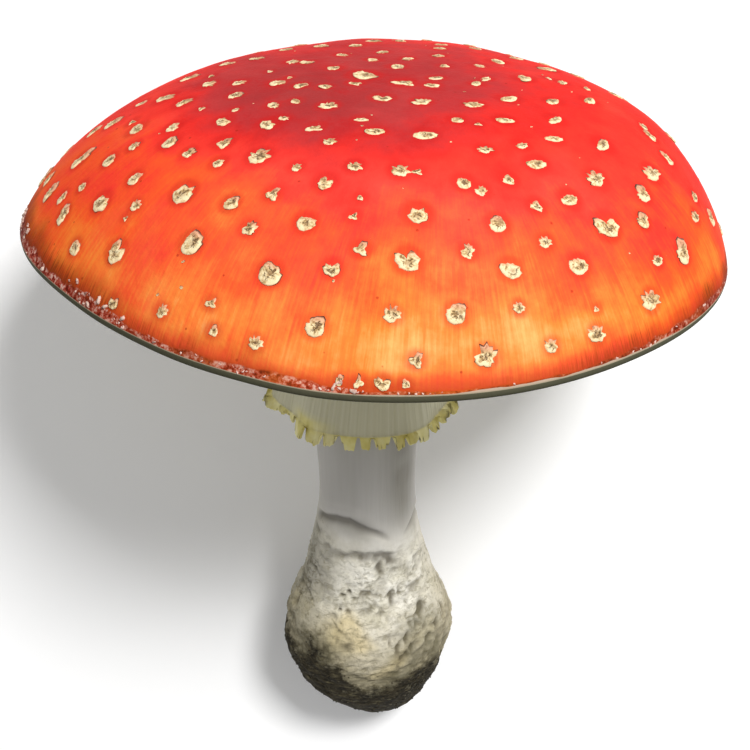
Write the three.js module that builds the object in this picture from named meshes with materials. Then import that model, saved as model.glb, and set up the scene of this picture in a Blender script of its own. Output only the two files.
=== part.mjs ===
// A fly agaric mushroom (Amanita muscaria), picked whole and lying on its side.
//
// Units are millimetres, +Z is up and the mushroom rests on z = 0. It is first built
// standing, in its own upright frame: z runs up the stem from the tip of the bulb, and
// +y is its back, the side that ends up underneath. The whole group is then laid back
// until the bulb and the rim of the cap both touch the surface.
//
// Pieces: the cap (flesh and skin), its gills, the stem with its bulb, and the ring, a torn
// skirt left by the partial veil. Each is a turned shape that a rule then makes uneven.
import * as THREE from "three";

// ---- Driving dimensions -----------------------------------------------------------
// A "share" is a distance from the cap's axis as a part of the cap's radius. A wave round
// the cap or the bulb is [how many times it repeats, its size, its phase].

// Cap
const CAP_RADIUS = 75;
const RIM_HEIGHT = 129.7; // the rim's plane above the tip of the bulb
const DOME_HEIGHT = 35.5; // the dome above the rim's plane
const DOME_FLATNESS = 3.4; // how flat the top is before the shoulder turns down
const SHOULDER = 0.8; // how full the shoulder is: lower is fuller
const APEX_SHIFT = new THREE.Vector2(10, -1.3); // the highest point lies off centre
const OUTLINE_WAVES = [[2, 0.025, 1.98], [4, 0.022, 0.4]]; // sizes as shares
const RIM_WAVES = [[2, 0.55, -1.57], [3, 0.35, 1.02]]; // the rim's rise and fall
const CAP_OFFSET_X = 0.9; // the cap's centre beside the stem's axis
const CAP_TILT = THREE.MathUtils.degToRad(2); // the cap dips towards +x
const LIP = [[0.7, -1.1], [1.5, -1.3]]; // how far in from the rim, and how high
const SKIN_TURN = 1.9; // how far in from the rim the flesh begins
const FLESH_AT_RIM = 2;
const FLESH_AT_CENTRE = 14;

// Gills
const GILL_COUNT = 56;
const GILL_INNER = 0.23; // shares
const GILL_OUTER = 0.965;
const GILL_ARCH = 12; // the gills' edges rise this much from the rim to the stem
const GILL_EDGE_AT_RIM = -1.2;
const GILL_ROOT = 1.5; // depth of the layer that the gills grow from
const GILL_LEAST = 0.4; // depth of a gill where it runs out at the rim

// Stem, as [radius, height] from the tip of the bulb to the underside of the cap
const STEM_OUTLINE = [
  [7.6, 1.4], [14.1, 8], [18, 15], [20.6, 25], [19.3, 33], [16.2, 40],
  [13.9, 48], [12.4, 56], [11.7, 66], [11.6, 86], [12, 114], [13.5, 150.4],
];
const TIP_SHIFT = 3; // the tip of the bulb points a little to +x
const TIP_BLEND = 20; // height over which that shift fades
const BULB_WAVES = [[3, 0.02, 0.6]]; // how far from round the bulb is, as shares
const BULB_MIDDLE = 24;
const BULB_SPREAD = 16;

// Ring, as [radius, height] down the middle of the membrane
const RING_LINE = [[12.9, 114], [13.8, 109], [15.8, 102], [18.4, 95], [20.6, 89.6], [21.2, 87.7]];
const RING_THICKNESS = 1;
const TOOTH_DEPTH = 3; // the longest flap of the torn edge below the ring line
const TOOTH_SEED = 3;

// How it lies
const LEAN = THREE.MathUtils.degToRad(26.5); // the stem's axis above the surface
const TIP_CLEARANCE = 8.8; // the bulb's tip above the surface
const PRESS_BLEND = 1.5; // how softly the flesh gives where it rests
const PRESS_FADE = 12; // how soon the flattening of the rim fades away from it

const GAP = 0.3; // between touching pieces

// How finely each piece is divided, along its profile and round its axis
const DOME_STEPS = 15;
const UNDER_STEPS = 7;
const STEM_STEPS = 22;
const RING_STEPS = 7;
const CAP_SEGMENTS = 2 * GILL_COUNT;
const STEM_SEGMENTS = 32;
const RING_SEGMENTS = 60;

// ---- Rules shared by the pieces ---------------------------------------------------

// Evenly spaced numbers from first to last.
function steps(first, last, count) {
  return Array.from({ length: count }, (_, i) => first + ((last - first) * i) / (count - 1));
}

// Repeatable random numbers from 0 to 1.
function randomFrom(seed) {
  let state = seed;
  return () => {
    state = (state * 16807) % 2147483647;
    return state / 2147483647;
  };
}

// The sum of some waves at an azimuth.
function wavesAt(waves, azimuth) {
  return waves.reduce((sum, [times, size, phase]) => sum + size * Math.cos(times * azimuth + phase), 0);
}

// The smaller of two lengths, rounded over where they are nearly equal.
function softMin(a, b, blend) {
  const near = Math.max(blend - Math.abs(a - b), 0) / blend;
  return Math.min(a, b) - (near * near * blend) / 4;
}

// How far out the surface under the mushroom lets a point of a piece be, at an azimuth
// and at a height of the upright frame. dip is how much the piece's plane drops per
// millimetre towards +x.
function reachToSurface(azimuth, height, dip = 0) {
  const outward = Math.sin(azimuth) * Math.cos(LEAN) + Math.cos(azimuth) * dip * Math.sin(LEAN);
  return outward > 0 ? (height * Math.sin(LEAN) + TIP_CLEARANCE) / outward : Infinity;
}

// The cap's outline from above, before anything presses on it.
function rimRadius(azimuth) {
  return CAP_RADIUS * (1 + wavesAt(OUTLINE_WAVES, azimuth));
}

// How far the rim is pressed in at the back, where it lies on the surface.
function pressedIn(azimuth) {
  const free = rimRadius(azimuth);
  const height = RIM_HEIGHT + wavesAt(RIM_WAVES, azimuth) * Math.cos(CAP_TILT);
  const reach = reachToSurface(azimuth, height, Math.sin(CAP_TILT));
  return free - softMin(free, reach, PRESS_BLEND);
}

// Heights over the rim's plane, at a share of the cap's radius: the dome, the underside
// of the flesh and the free edges of the gills.
function domeHeight(share) {
  return DOME_HEIGHT * (1 - share ** DOME_FLATNESS) ** SHOULDER;
}
function fleshHeight(share) {
  return domeHeight(share) - FLESH_AT_RIM - (FLESH_AT_CENTRE - FLESH_AT_RIM) * (1 - share ** 3);
}
function gillEdgeHeight(share) {
  return GILL_EDGE_AT_RIM + GILL_ARCH * (1 - share ** 2);
}

// A point of the cap from its share of the radius, its azimuth and its height.
function capPoint(share, azimuth, height, shifted) {
  const radius = share * rimRadius(azimuth) - pressedIn(azimuth) * share ** PRESS_FADE;
  const shift = shifted ? 1 - share ** 2 : 0;
  return new THREE.Vector3(
    radius * Math.cos(azimuth) + APEX_SHIFT.x * shift,
    radius * Math.sin(azimuth) + APEX_SHIFT.y * shift,
    height + wavesAt(RIM_WAVES, azimuth) * share ** 3,
  );
}

// Turns a profile round the z axis and hands every vertex to place(index along the
// profile, azimuth, index round the axis), which returns where it goes.
function turned(profileLength, segments, place) {
  const profile = Array.from({ length: profileLength }, () => new THREE.Vector2(1, 0));
  const geometry = new THREE.LatheGeometry(profile, segments);
  const position = geometry.getAttribute("position");
  for (let i = 0; i < position.count; i++) {
    const round = Math.floor(i / profileLength) % segments;
    const point = place(i % profileLength, (round / segments) * 2 * Math.PI, round);
    position.setXYZ(i, point.x, point.y, point.z);
  }
  geometry.computeVertexNormals();
  return geometry;
}

function piece(name, geometry, color, roughness) {
  const material = new THREE.MeshStandardMaterial({ color, roughness, metalness: 0 });
  const mesh = new THREE.Mesh(geometry, material);
  mesh.name = name;
  return mesh;
}

// Where the underside of the flesh has its vertices, from the rim inwards. The gills
// follow the same ones.
const UNDER_SHARES = steps(GILL_OUTER, GILL_INNER, UNDER_STEPS);

// ---- Pieces -----------------------------------------------------------------------

// Cap: the dome from its apex to the rim, a thin rounded lip, and the underside of the
// flesh back to the middle.
function makeCap() {
  const dome = steps(0, Math.PI / 2, DOME_STEPS).map((turn) => {
    const share = Math.sin(turn);
    return { share, height: domeHeight(share), shifted: true };
  });
  const lip = LIP.map(([inward, height]) => ({ share: 1 - inward / CAP_RADIUS, height }));
  const under = [1 - SKIN_TURN / CAP_RADIUS, ...UNDER_SHARES, 0].map((share) => ({
    share,
    height: fleshHeight(share),
  }));
  const profile = [...dome, ...lip, ...under].reverse();
  const geometry = turned(profile.length, CAP_SEGMENTS, (along, azimuth) => {
    const { share, height, shifted } = profile[along];
    return capPoint(share, azimuth, height, shifted);
  });
  return piece("cap", geometry, 0xd8321e, 0.4);
}

// Gills: one pleated body under the flesh. Its upper side follows the flesh, and its
// lower side runs to the gills' free edges at every second step round.
function makeGills() {
  const root = (share) => fleshHeight(share) - GAP;
  const lower = UNDER_SHARES.toReversed().map((share) => {
    const valley = root(share) - GILL_ROOT;
    return { share, edge: Math.min(gillEdgeHeight(share), valley - GILL_LEAST), valley };
  });
  const upper = UNDER_SHARES.map((share) => ({ share, edge: root(share), valley: root(share) }));
  const profile = [...lower, ...upper, lower[0]];
  const geometry = turned(profile.length, CAP_SEGMENTS, (along, azimuth, round) => {
    const { share, edge, valley } = profile[along];
    return capPoint(share, azimuth, round % 2 ? valley : edge, false);
  });
  return piece("gills", geometry, 0xe9e2cc, 0.7);
}

// Stem and bulb, flat on top where the flesh of the cap begins.
function makeStem() {
  const outline = new THREE.SplineCurve(STEM_OUTLINE.map(([r, z]) => new THREE.Vector2(r, z)));
  const profile = [new THREE.Vector2(0, 0), ...outline.getPoints(STEM_STEPS)];
  profile.push(new THREE.Vector2(0, profile[profile.length - 1].y));
  const geometry = turned(profile.length, STEM_SEGMENTS, (along, azimuth) => {
    const { x: radius, y: height } = profile[along];
    const bulb = Math.exp(-(((height - BULB_MIDDLE) / BULB_SPREAD) ** 2));
    const uneven = radius * (1 + bulb * wavesAt(BULB_WAVES, azimuth));
    const pressed = softMin(uneven, reachToSurface(azimuth, height), PRESS_BLEND / 2);
    const shift = TIP_SHIFT * Math.max(0, 1 - height / TIP_BLEND) ** 2;
    return new THREE.Vector3(
      pressed * Math.cos(azimuth) + shift,
      pressed * Math.sin(azimuth),
      height,
    );
  });
  return piece("stem", geometry, 0xd9d5c8, 0.75);
}

// Ring: a bell of thin membrane round the upper stem, its lower edge torn into flaps.
function makeRing() {
  const random = randomFrom(TOOTH_SEED);
  const flaps = Array.from({ length: RING_SEGMENTS }, () => TOOTH_DEPTH * random());
  const line = new THREE.SplineCurve(RING_LINE.map(([r, z]) => new THREE.Vector2(r, z)));
  const middle = steps(0, 1, RING_STEPS).map((t) => {
    const tangent = line.getTangent(t);
    return { point: line.getPoint(t), out: new THREE.Vector2(-tangent.y, tangent.x), torn: t === 1 };
  });
  const side = (sign) => ({ point, out, torn }) => ({
    point: point.clone().addScaledVector(out, (sign * RING_THICKNESS) / 2),
    torn,
  });
  const inner = middle.map(side(-1));
  const outer = middle.map(side(1)).reverse();
  const profile = [...inner, ...outer, inner[0]];
  const geometry = turned(profile.length, RING_SEGMENTS, (along, azimuth, round) => {
    const { point, torn } = profile[along];
    const height = point.y - (torn ? flaps[round] : 0);
    return new THREE.Vector3(point.x * Math.cos(azimuth), point.x * Math.sin(azimuth), height);
  });
  return piece("ring", geometry, 0xcfcba0, 0.7);
}

// ---- Assembly ---------------------------------------------------------------------

const head = new THREE.Group();
head.add(makeCap(), makeGills());
head.position.set(CAP_OFFSET_X, 0, RIM_HEIGHT);
head.rotation.y = CAP_TILT;

const upright = new THREE.Group();
upright.add(head, makeStem(), makeRing());
upright.rotation.x = LEAN - Math.PI / 2;
upright.position.z = TIP_CLEARANCE;

// The origin is under the middle of the lying mushroom, on the surface.
const mushroom = new THREE.Group();
mushroom.add(upright);
mushroom.updateMatrixWorld(true);
const box = new THREE.Box3().setFromObject(mushroom, true);
const middle = box.getCenter(new THREE.Vector3());
upright.position.sub(new THREE.Vector3(middle.x, middle.y, box.min.z));

export default mushroom;
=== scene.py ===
# %% [markdown]
# A fly agaric (Amanita muscaria), picked whole and laid on its side on a pale table.
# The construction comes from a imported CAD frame: the cap, the gills, the stem and the
# ring at their real size, lying on the cap's rim and the bulb. This script dresses that
# frame. Each piece is rebuilt as a fine mesh in the place of its CAD node, and gets a
# finish of its own. Lengths are worked out in millimetres and turned to metres last.

# %% Load the frame
import math

import bmesh
import bpy
import numpy as np
from mathutils import Matrix, Vector


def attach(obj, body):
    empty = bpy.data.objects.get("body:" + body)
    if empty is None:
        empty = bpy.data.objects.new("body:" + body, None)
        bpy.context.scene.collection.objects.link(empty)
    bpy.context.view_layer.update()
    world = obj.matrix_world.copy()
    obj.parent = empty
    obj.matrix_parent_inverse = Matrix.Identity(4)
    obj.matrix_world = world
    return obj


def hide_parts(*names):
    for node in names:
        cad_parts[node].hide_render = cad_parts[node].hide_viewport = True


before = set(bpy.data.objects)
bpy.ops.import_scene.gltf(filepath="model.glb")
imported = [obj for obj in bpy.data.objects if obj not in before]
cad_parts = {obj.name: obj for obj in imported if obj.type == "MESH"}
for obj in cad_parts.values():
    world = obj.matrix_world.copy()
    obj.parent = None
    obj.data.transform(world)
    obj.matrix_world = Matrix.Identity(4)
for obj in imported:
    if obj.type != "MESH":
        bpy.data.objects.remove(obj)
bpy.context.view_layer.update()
MM = 0.001
print("CAD nodes:", sorted(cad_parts))

# %% [markdown]
# A mushroom is round about its stem, so every rule is simplest in an upright frame: z up
# the stem from the tip of the bulb, and +y to the back, the side that lies underneath.
# The frame's stem says where that is. Its largest flat face is the disc under the cap,
# whose normal is the axis, and its lowest point along that axis is the tip.

# %% The mushroom's own axes
def stem_axis(stem):
    """The tip of the bulb, the unit axis and the length of the CAD stem, in metres."""
    mesh = stem.data
    flats = {}
    for face in mesh.polygons:
        key = tuple(round(n, 3) for n in face.normal)
        flats.setdefault(key, []).append(face)
    disc = max(flats.values(), key=lambda faces: sum(f.area for f in faces))
    axis = disc[0].normal.copy()
    corners = {tuple(round(c, 6) for c in mesh.vertices[v].co) for f in disc for v in f.vertices}
    centre = sum((Vector(c) for c in corners), Vector()) / len(corners)
    heights = [axis.dot(v.co) for v in mesh.vertices]
    length = max(heights) - min(heights)
    return centre - axis * length, axis, length


tip, axis, stem_length = stem_axis(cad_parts["stem"])
side = Vector((1, 0, 0))
back = axis.cross(side)
UPRIGHT = np.array([side, back, axis])
TIP = np.array(tip)
LEAN = math.asin(axis.z)


def to_row(points):
    """Upright millimetres to metres in the row's frame."""
    return np.asarray(points) * MM @ UPRIGHT + TIP


print(f"stem {stem_length / MM:.1f} mm long, leaning {math.degrees(LEAN):.1f} degrees")

# %% [markdown]
# The camera looks down on the lying mushroom. Seen from the stem's own frame it stands
# 27 degrees above the plane of the cap's rim, so it shows the top of the cap, the front
# of the stem and, between them, the torn skirt of the ring.

# %% Camera
VIEW_ELEVATION = math.radians(27)
VIEW_DISTANCE = 322.3
VIEW_TARGET = np.array([1.9, 0, 93.95])
VIEW_ANGLE = math.radians(30)

towards = np.array([0, -math.cos(VIEW_ELEVATION), math.sin(VIEW_ELEVATION)])
upwards = np.array([0, math.sin(VIEW_ELEVATION), math.cos(VIEW_ELEVATION)])
camera_data = bpy.data.cameras.new("camera")
camera_data.angle = VIEW_ANGLE
camera_data.clip_start = 0.01
camera = bpy.data.objects.new("camera", camera_data)
turn = Matrix([side, Vector(upwards @ UPRIGHT), Vector(towards @ UPRIGHT)]).transposed()
camera.matrix_world = Matrix.Translation(to_row(VIEW_TARGET + VIEW_DISTANCE * towards)) @ turn.to_4x4()
bpy.context.scene.collection.objects.link(camera)
bpy.context.scene.camera = camera
print("camera at", [round(c, 3) for c in camera.matrix_world.translation])

# %% [markdown]
# A finish is built from nodes: noise at the size of the real mottling, numbers kept on
# the mesh where a mark has a place of its own, and colours mixed by both. Adding one by
# hand takes a line for each socket, so one function does it for every kind of node.
# Blender keeps colours as linear light, and people pick them as sRGB hex, so another
# function turns them over.

# %% Colours and nodes
def colour(text):
    """Linear RGBA from sRGB hex."""
    parts = [int(text[i:i + 2], 16) / 255 for i in (1, 3, 5)]
    return [p / 12.92 if p <= 0.04045 else ((p + 0.055) / 1.055) ** 2.4 for p in parts] + [1]


def fill(tree, node, *values, **named):
    """Gives inputs of a node their values, or links them: its live inputs in order, or
    those named, with _ for a space. Text like #C8201E is a colour."""
    live = [socket for socket in node.inputs if socket.enabled]
    pairs = list(zip(live, values))
    pairs += [(node.inputs[name.replace("_", " ")], value) for name, value in named.items()]
    for socket, value in pairs:
        if isinstance(value, bpy.types.NodeSocket):
            tree.links.new(value, socket)
        else:
            is_colour = isinstance(value, str) and value.startswith("#")
            socket.default_value = colour(value) if is_colour else value


def add(tree, kind, *values, out=0, stops=(), **settings):
    """Adds a node and returns its first live output, or the one named out. Settings with
    a capital are its inputs, and the others its properties. stops are the places and the
    shades, hex or grey, of a colour ramp."""
    node = tree.nodes.new(kind if "Node" in kind else "ShaderNode" + kind)
    for name, value in settings.items():
        if name[0].islower():
            setattr(node, name, value)
    fill(tree, node, *values, **{name: value for name, value in settings.items() if name[0].isupper()})
    for i, (place, shade) in enumerate(stops):
        elements = node.color_ramp.elements
        element = elements[i] if i < len(elements) else elements.new(1)
        element.position = place
        element.color = colour(shade) if isinstance(shade, str) else (shade, shade, shade, 1)
    return node.outputs[out] if out else [socket for socket in node.outputs if socket.enabled][0]


def new_material(name):
    """A material with a principled shader, and its tree and shader."""
    material = bpy.data.materials.new(name)
    material.use_nodes = True
    return material, material.node_tree, material.node_tree.nodes["Principled BSDF"]


def per_mm(size):
    """The scale of a texture on coordinates in metres whose features are size mm."""
    return 1 / (size * MM)


print("colours and nodes ready")

# %% [markdown]
# Uneven, grown surfaces need smooth randomness that is the same on every run. Value
# noise does that: random heights on a grid of points, blended smoothly between them.

# %% Smooth random heights
NOISE_TABLE = np.random.default_rng(11).uniform(-1, 1, 8191)


def bumps(points, size, seed=0):
    """Heights from -1 to 1 at some points, with hills about size apart."""
    cell = np.asarray(points, float) / size + 0.5 * seed
    corner = np.floor(cell).astype(np.int64)
    part = cell - corner
    part = part * part * (3 - 2 * part)
    total = np.zeros(cell.shape[:-1])
    for step in np.ndindex(2, 2, 2):
        near = np.prod(np.where(step, part, 1 - part), axis=-1)
        x, y, z = np.moveaxis(corner + step, -1, 0)
        total += near * NOISE_TABLE[(x * 7349 + y * 9151 + z * 5297 + seed * 4051) % NOISE_TABLE.size]
    return total


def layered(points, size, seed=0, layers=3):
    """Hills with smaller hills on them."""
    return sum(bumps(points, size / 2 ** i, seed + i) / 2 ** i for i in range(layers))


def fade(value, start, end):
    """0 up to start, 1 past end, smooth between; start may be the larger."""
    t = np.clip((value - start) / (end - start), 0, 1)
    return t * t * (3 - 2 * t)


print("noise table of", NOISE_TABLE.size)

# %% [markdown]
# Every main piece is a grid of rings round an axis. The mesh is built from its rings,
# with a pole where an end closes on the axis, or closed on itself like a tube bent into
# a hoop. What lies lower than the table is pressed flat on it.

# %% Meshes from rings
def from_rings(name, rings, hoop=False):
    """A closed mesh from rings of points, (rings, round, 3), in upright millimetres. Its
    first and last rings are each one point, or join each other in a hoop."""
    count, around = rings.shape[:2]
    points = to_row(rings)
    points[..., 2] = np.maximum(points[..., 2], 0)
    i, j = np.meshgrid(np.arange(count if hoop else count - 1), np.arange(around), indexing="ij")
    across = (i + 1) % count
    after = (j + 1) % around
    quads = np.stack([i * around + j, i * around + after, across * around + after, across * around + j], -1)
    mesh = bpy.data.meshes.new(name)
    mesh.from_pydata(points.reshape(-1, 3), [], quads.reshape(-1, 4).tolist())
    mesh.shade_smooth()
    piece = bpy.data.objects.new(name, mesh)
    bpy.context.scene.collection.objects.link(piece)
    return piece


def store(piece, name, values):
    """Keeps a number or a vector for every vertex, for the piece's material."""
    values = np.asarray(values, np.float32)
    vector = values.ndim > 1 and values.shape[-1] == 3 and values.size == 3 * len(piece.data.vertices)
    attribute = piece.data.attributes.new(name, "FLOAT_VECTOR" if vector else "FLOAT", "POINT")
    attribute.data.foreach_set("vector" if vector else "value", values.ravel())


def weld(mesh, outward=True):
    """Joins the vertices that share a place, so that poles are closed, and can turn the
    faces outward."""
    working = bmesh.new()
    working.from_mesh(mesh)
    bmesh.ops.remove_doubles(working, verts=working.verts, dist=1e-7)
    if outward:
        bmesh.ops.recalc_face_normals(working, faces=working.faces)
    working.to_mesh(mesh)
    working.free()


print("mesh helpers ready")

# %% [markdown]
# The cap's shape is a rule: a dome over an oval rim, with its highest point off centre.
# Its measures have to be the CAD cap's own, so that the fine cap lies in its place. A
# share is a distance from the cap's axis as a part of its radius, and a wave is how many
# times it repeats round the cap, its size and its phase.

# %% The cap's measures
CAP_RADIUS = 75
RIM_HEIGHT = 129.7
DOME_HEIGHT = 35.5
DOME_FLATNESS = 3.4
SHOULDER = 0.8
APEX_SHIFT = (10, -1.3)
OUTLINE_WAVES = [(2, 0.025, 1.98), (4, 0.022, 0.4)]
RIM_WAVES = [(2, 0.55, -1.57), (3, 0.35, 1.02)]
CAP_OFFSET_X = 0.9
CAP_TILT = math.radians(2)
TIP_CLEARANCE = tip.z / MM
FLESH_AT_RIM = 2
FLESH_AT_CENTRE = 14
print("cap", 2 * CAP_RADIUS, "mm across, its rim", RIM_HEIGHT, "mm above the bulb's tip")

# %% [markdown]
# Lying down, the rim and the bulb would dip below the table. Soft flesh is pressed flat
# there instead. So every radius is cut short where the table lies nearer, with a rounded
# turn, and over the cap that cut fades out quickly from the rim inward.

# %% The cap's rule
PRESS_BLEND = 1.5
PRESS_FADE = 12


def waves(recipe, azimuth):
    """The sum of some waves at an azimuth."""
    return sum(size * np.cos(repeats * azimuth + phase) for repeats, size, phase in recipe)


def soft_least(a, b, within):
    """The smaller of two lengths, rounded where they are nearly equal."""
    near = np.clip(1 - np.abs(a - b) / within, 0, None)
    return np.minimum(a, b) - near * near * within / 4


def reach_to_table(azimuth, height, dip=0.0):
    """How far from the axis the table lies, at an azimuth and a height."""
    outward = np.sin(azimuth) * math.cos(LEAN) + np.cos(azimuth) * dip * math.sin(LEAN)
    reach = (height * math.sin(LEAN) + TIP_CLEARANCE) / np.maximum(outward, 1e-6)
    return np.where(outward > 0, reach, 1e6)


def rim_radius(azimuth):
    """The free rim, before the table presses it."""
    return CAP_RADIUS * (1 + waves(OUTLINE_WAVES, azimuth))


def pressed_in(azimuth):
    """How much of the rim's radius the table takes."""
    free = rim_radius(azimuth)
    height = RIM_HEIGHT + waves(RIM_WAVES, azimuth) * math.cos(CAP_TILT)
    return free - soft_least(free, reach_to_table(azimuth, height, math.sin(CAP_TILT)), PRESS_BLEND)


def dome_height(share):
    """The skin above the plane of the rim."""
    return DOME_HEIGHT * (1 - np.clip(share, 0, 1) ** DOME_FLATNESS) ** SHOULDER


def flesh_height(share):
    """The underside of the flesh, that the gills grow from."""
    return dome_height(share) - FLESH_AT_RIM - (FLESH_AT_CENTRE - FLESH_AT_RIM) * (1 - share ** 3)


def on_cap(share, azimuth, height, shifted):
    """Points of the cap about its own axis, from shares of its radius and heights."""
    radius = share * rim_radius(azimuth) - pressed_in(azimuth) * share ** PRESS_FADE
    shift = np.asarray(shifted, float) * (1 - share ** 2)
    x = radius * np.cos(azimuth) + APEX_SHIFT[0] * shift
    y = radius * np.sin(azimuth) + APEX_SHIFT[1] * shift
    return np.stack([x, y, height + waves(RIM_WAVES, azimuth) * share ** 3], -1)


def to_upright(points):
    """From the cap's own axes, a little tilted, to the stem's."""
    x, y, z = np.moveaxis(points, -1, 0)
    cos, sin = math.cos(CAP_TILT), math.sin(CAP_TILT)
    return np.stack([x * cos + z * sin + CAP_OFFSET_X, y, z * cos - x * sin + RIM_HEIGHT], -1)


all_round = np.linspace(0, 2 * math.pi, 99)
print(f"rim radius {rim_radius(all_round).min():.1f} to {rim_radius(all_round).max():.1f} mm,",
      f"pressed in {pressed_in(all_round).max():.1f} mm")

# %% [markdown]
# The warts are crumbs of the veil that once wrapped the whole young mushroom. As the cap
# opened, the veil broke into rings of patches. Scattering them at random would lose those
# rings, so on the front they are listed ring by ring, each with its own shape.

# %% Warts listed ring by ring
WART_SHAPES = ["round", "jagged", "crescent", "triangle", "long", "double"]

# For some shares of the cap's radius: azimuth in degrees, shape and radius in mm.
WART_RINGS = {
    0.992: "266 long 1.0, 268.5 triangle 1.3, 271.5 crescent 1.7, 274.5 triangle 1.1",
    0.985: "228 crescent 1.6",
    0.97: "238 jagged 1.6, 247.5 triangle 1.3, 254 jagged 1.7, 275.5 triangle 1.6, 285 jagged 2.4, "
          "295 jagged 1.6, 303 jagged 2.2",
    0.955: "212.5 round 2.2, 315 jagged 2.7",
    0.94: "160 long 2.0, 245.5 triangle 1.4, 261.5 round 2.4, 303.5 triangle 0.8",
    0.93: "183.5 long 2.0, 191 long 2.4, 202.5 long 2.5, 223 crescent 3.0",
    0.915: "197.5 long 1.7, 271.5 jagged 1.9, 280.5 round 2.5, 290 jagged 1.4, 326.5 long 2.8, 344 long 2.1",
    0.905: "319 jagged 1.5",
    0.88: "201 round 1.6, 210.5 crescent 3.0, 219.5 triangle 0.8, 252.5 round 2.9, 336 jagged 1.7",
    0.87: "237 round 3.1, 301.5 round 2.5",
    0.855: "190 double 3.2, 219.5 jagged 1.6, 261.5 crescent 1.9, 289 round 2.4, 340.5 jagged 1.4",
    0.83: "177.5 long 2.2, 272.5 crescent 2.9, 319 long 1.9",
    0.815: "200.5 round 2.3, 213 round 2.2, 245.5 jagged 1.8, 265 triangle 1.7, 282 jagged 1.7, "
           "296 jagged 1.6, 310 crescent 3.4",
    0.795: "227.5 crescent 3.4",
    0.78: "181.5 long 2.4, 239 round 2.2, 254.5 round 2.4, 323 long 2.3",
    0.765: "202 jagged 1.7, 287.5 round 2.4",
    0.75: "262 triangle 1.2, 330 jagged 2.9, 341.5 double 2.6",
    0.735: "188.5 triangle 1.5, 194 round 2.7, 245.5 triangle 2.0, 273 crescent 2.9, 296 triangle 2.0, "
           "304 round 2.4",
    0.715: "177.5 long 1.8, 210 round 2.7, 218.5 jagged 1.9",
    0.705: "228 crescent 2.0, 262 triangle 1.0, 313 jagged 2.8",
    0.68: "204 crescent 2.3, 254 crescent 2.4, 285 jagged 1.7, 345 double 2.7",
    0.655: "182 double 3.2, 223 triangle 2.5, 235.5 jagged 3.1, 246 jagged 1.5, 281.5 round 2.2, "
           "291.5 triangle 2.0, 348 jagged 1.7",
    0.62: "168 long 2.6, 191.5 double 2.7, 258 jagged 1.9, 268 jagged 2.4, 271.5 triangle 1.4, "
          "300 round 2.6, 323 round 2.6",
    0.6: "7 long 2.4, 200.5 triangle 1.1, 213.5 crescent 2.5",
    0.55: "22 long 2.6, 159 long 2.4, 173 triangle 1.3, 181.5 jagged 2.4, 209.5 long 1.1, 226 crescent 2.8, "
          "248 jagged 1.7, 288 jagged 1.9, 299 jagged 1.5, 310 round 2.2",
    0.51: "35 round 2.4, 198 long 2.2, 227 jagged 1.4, 240 triangle 2.2",
    0.48: "0 jagged 1.4, 140 jagged 2.2, 157 double 2.4, 186.5 long 2.0, 216 jagged 1.9, 257.5 round 2.4, "
          "272 round 2.9, 318 round 2.4, 345 round 2.4",
    0.43: "22 long 2.8, 42 round 2.6, 129 long 2.6, 219 round 1.7, 250.5 crescent 2.0, 289.5 triangle 1.0, "
          "300 round 2.3",
    0.4: "0 jagged 1.9, 62 round 2.4, 95 long 2.2, 107 jagged 2.3, 178 triangle 1.2, 194.5 long 2.3, "
         "232.5 jagged 2.6, 283 round 2.0, 331.5 round 2.4",
    0.36: "2 triangle 1.1, 78 jagged 1.9, 119 jagged 2.1, 164 jagged 2.1, 190 triangle 1.0, 204 long 2.1",
    0.32: "165 long 2.0, 213 round 2.1, 294 jagged 2.4, 315 round 2.7",
    0.28: "33 round 2.7, 77 jagged 1.7, 142 double 2.0, 247.5 crescent 2.9, 269 jagged 2.6, 354 round 2.8",
    0.24: "116 jagged 1.8, 178 round 2.4, 217 triangle 1.9",
    0.18: "22 jagged 1.9, 74 jagged 1.7, 140 jagged 1.9, 201 round 4.2, 321 round 2.0, 338 jagged 1.8",
    0.14: "107 jagged 1.8, 246 triangle 3.1, 277 crescent 2.4",
    0.08: "40 triangle 1.9, 155 round 2.6, 292 round 2.1",
}


def read_rings():
    """Share, azimuth, kind and radius of each wart in the rings."""
    places = []
    for share, ring in WART_RINGS.items():
        for wart in ring.split(","):
            degrees, kind, radius = wart.split()
            places.append((share, math.radians(float(degrees)), WART_SHAPES.index(kind), float(radius)))
    return places


print(len(read_rings()), "warts placed by hand")

# %% [markdown]
# On the back the warts lie at random, with room between them, and small crumbs lie all
# over the cap. A random place is kept where it is far enough from every other wart.

# %% Warts at random
WART_SPACING = 8.2
CRUMBS = 45


def wart_places():
    """Shares, azimuths, kinds and radii of all warts, the small crumbs last."""
    rng = np.random.default_rng(5)
    places = read_rings()
    by_hand = len(places)
    for x, y in rng.uniform(-1, 1, (9000, 2)):
        share = math.hypot(x, y)
        seen = y < 0.5 - 0.65 * x * x - 0.15 * x
        room = all(math.hypot(x - s * math.cos(a), y - s * math.sin(a)) * CAP_RADIUS
                   > WART_SPACING for s, a, _, _ in places)
        if share < 0.965 and not seen and room:
            kind = int(rng.integers(len(WART_SHAPES)))
            places.append((share, math.atan2(y, x), kind, rng.uniform(1.5, 2.9)))
    at_random = len(places) - by_hand
    for x, y in rng.uniform(-0.96, 0.96, (2 * CRUMBS, 2)):
        if math.hypot(x, y) < 0.96:
            places.append((math.hypot(x, y), math.atan2(y, x), 1, rng.uniform(0.15, 0.4)))
    print(at_random, "warts at random and", len(places) - by_hand - at_random, "crumbs")
    return np.array(places).T


def dome_point(share, azimuth):
    """A point on the dome in upright millimetres, before its small hills."""
    return to_upright(on_cap(share, azimuth, dome_height(share), np.ones_like(share)))


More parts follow.
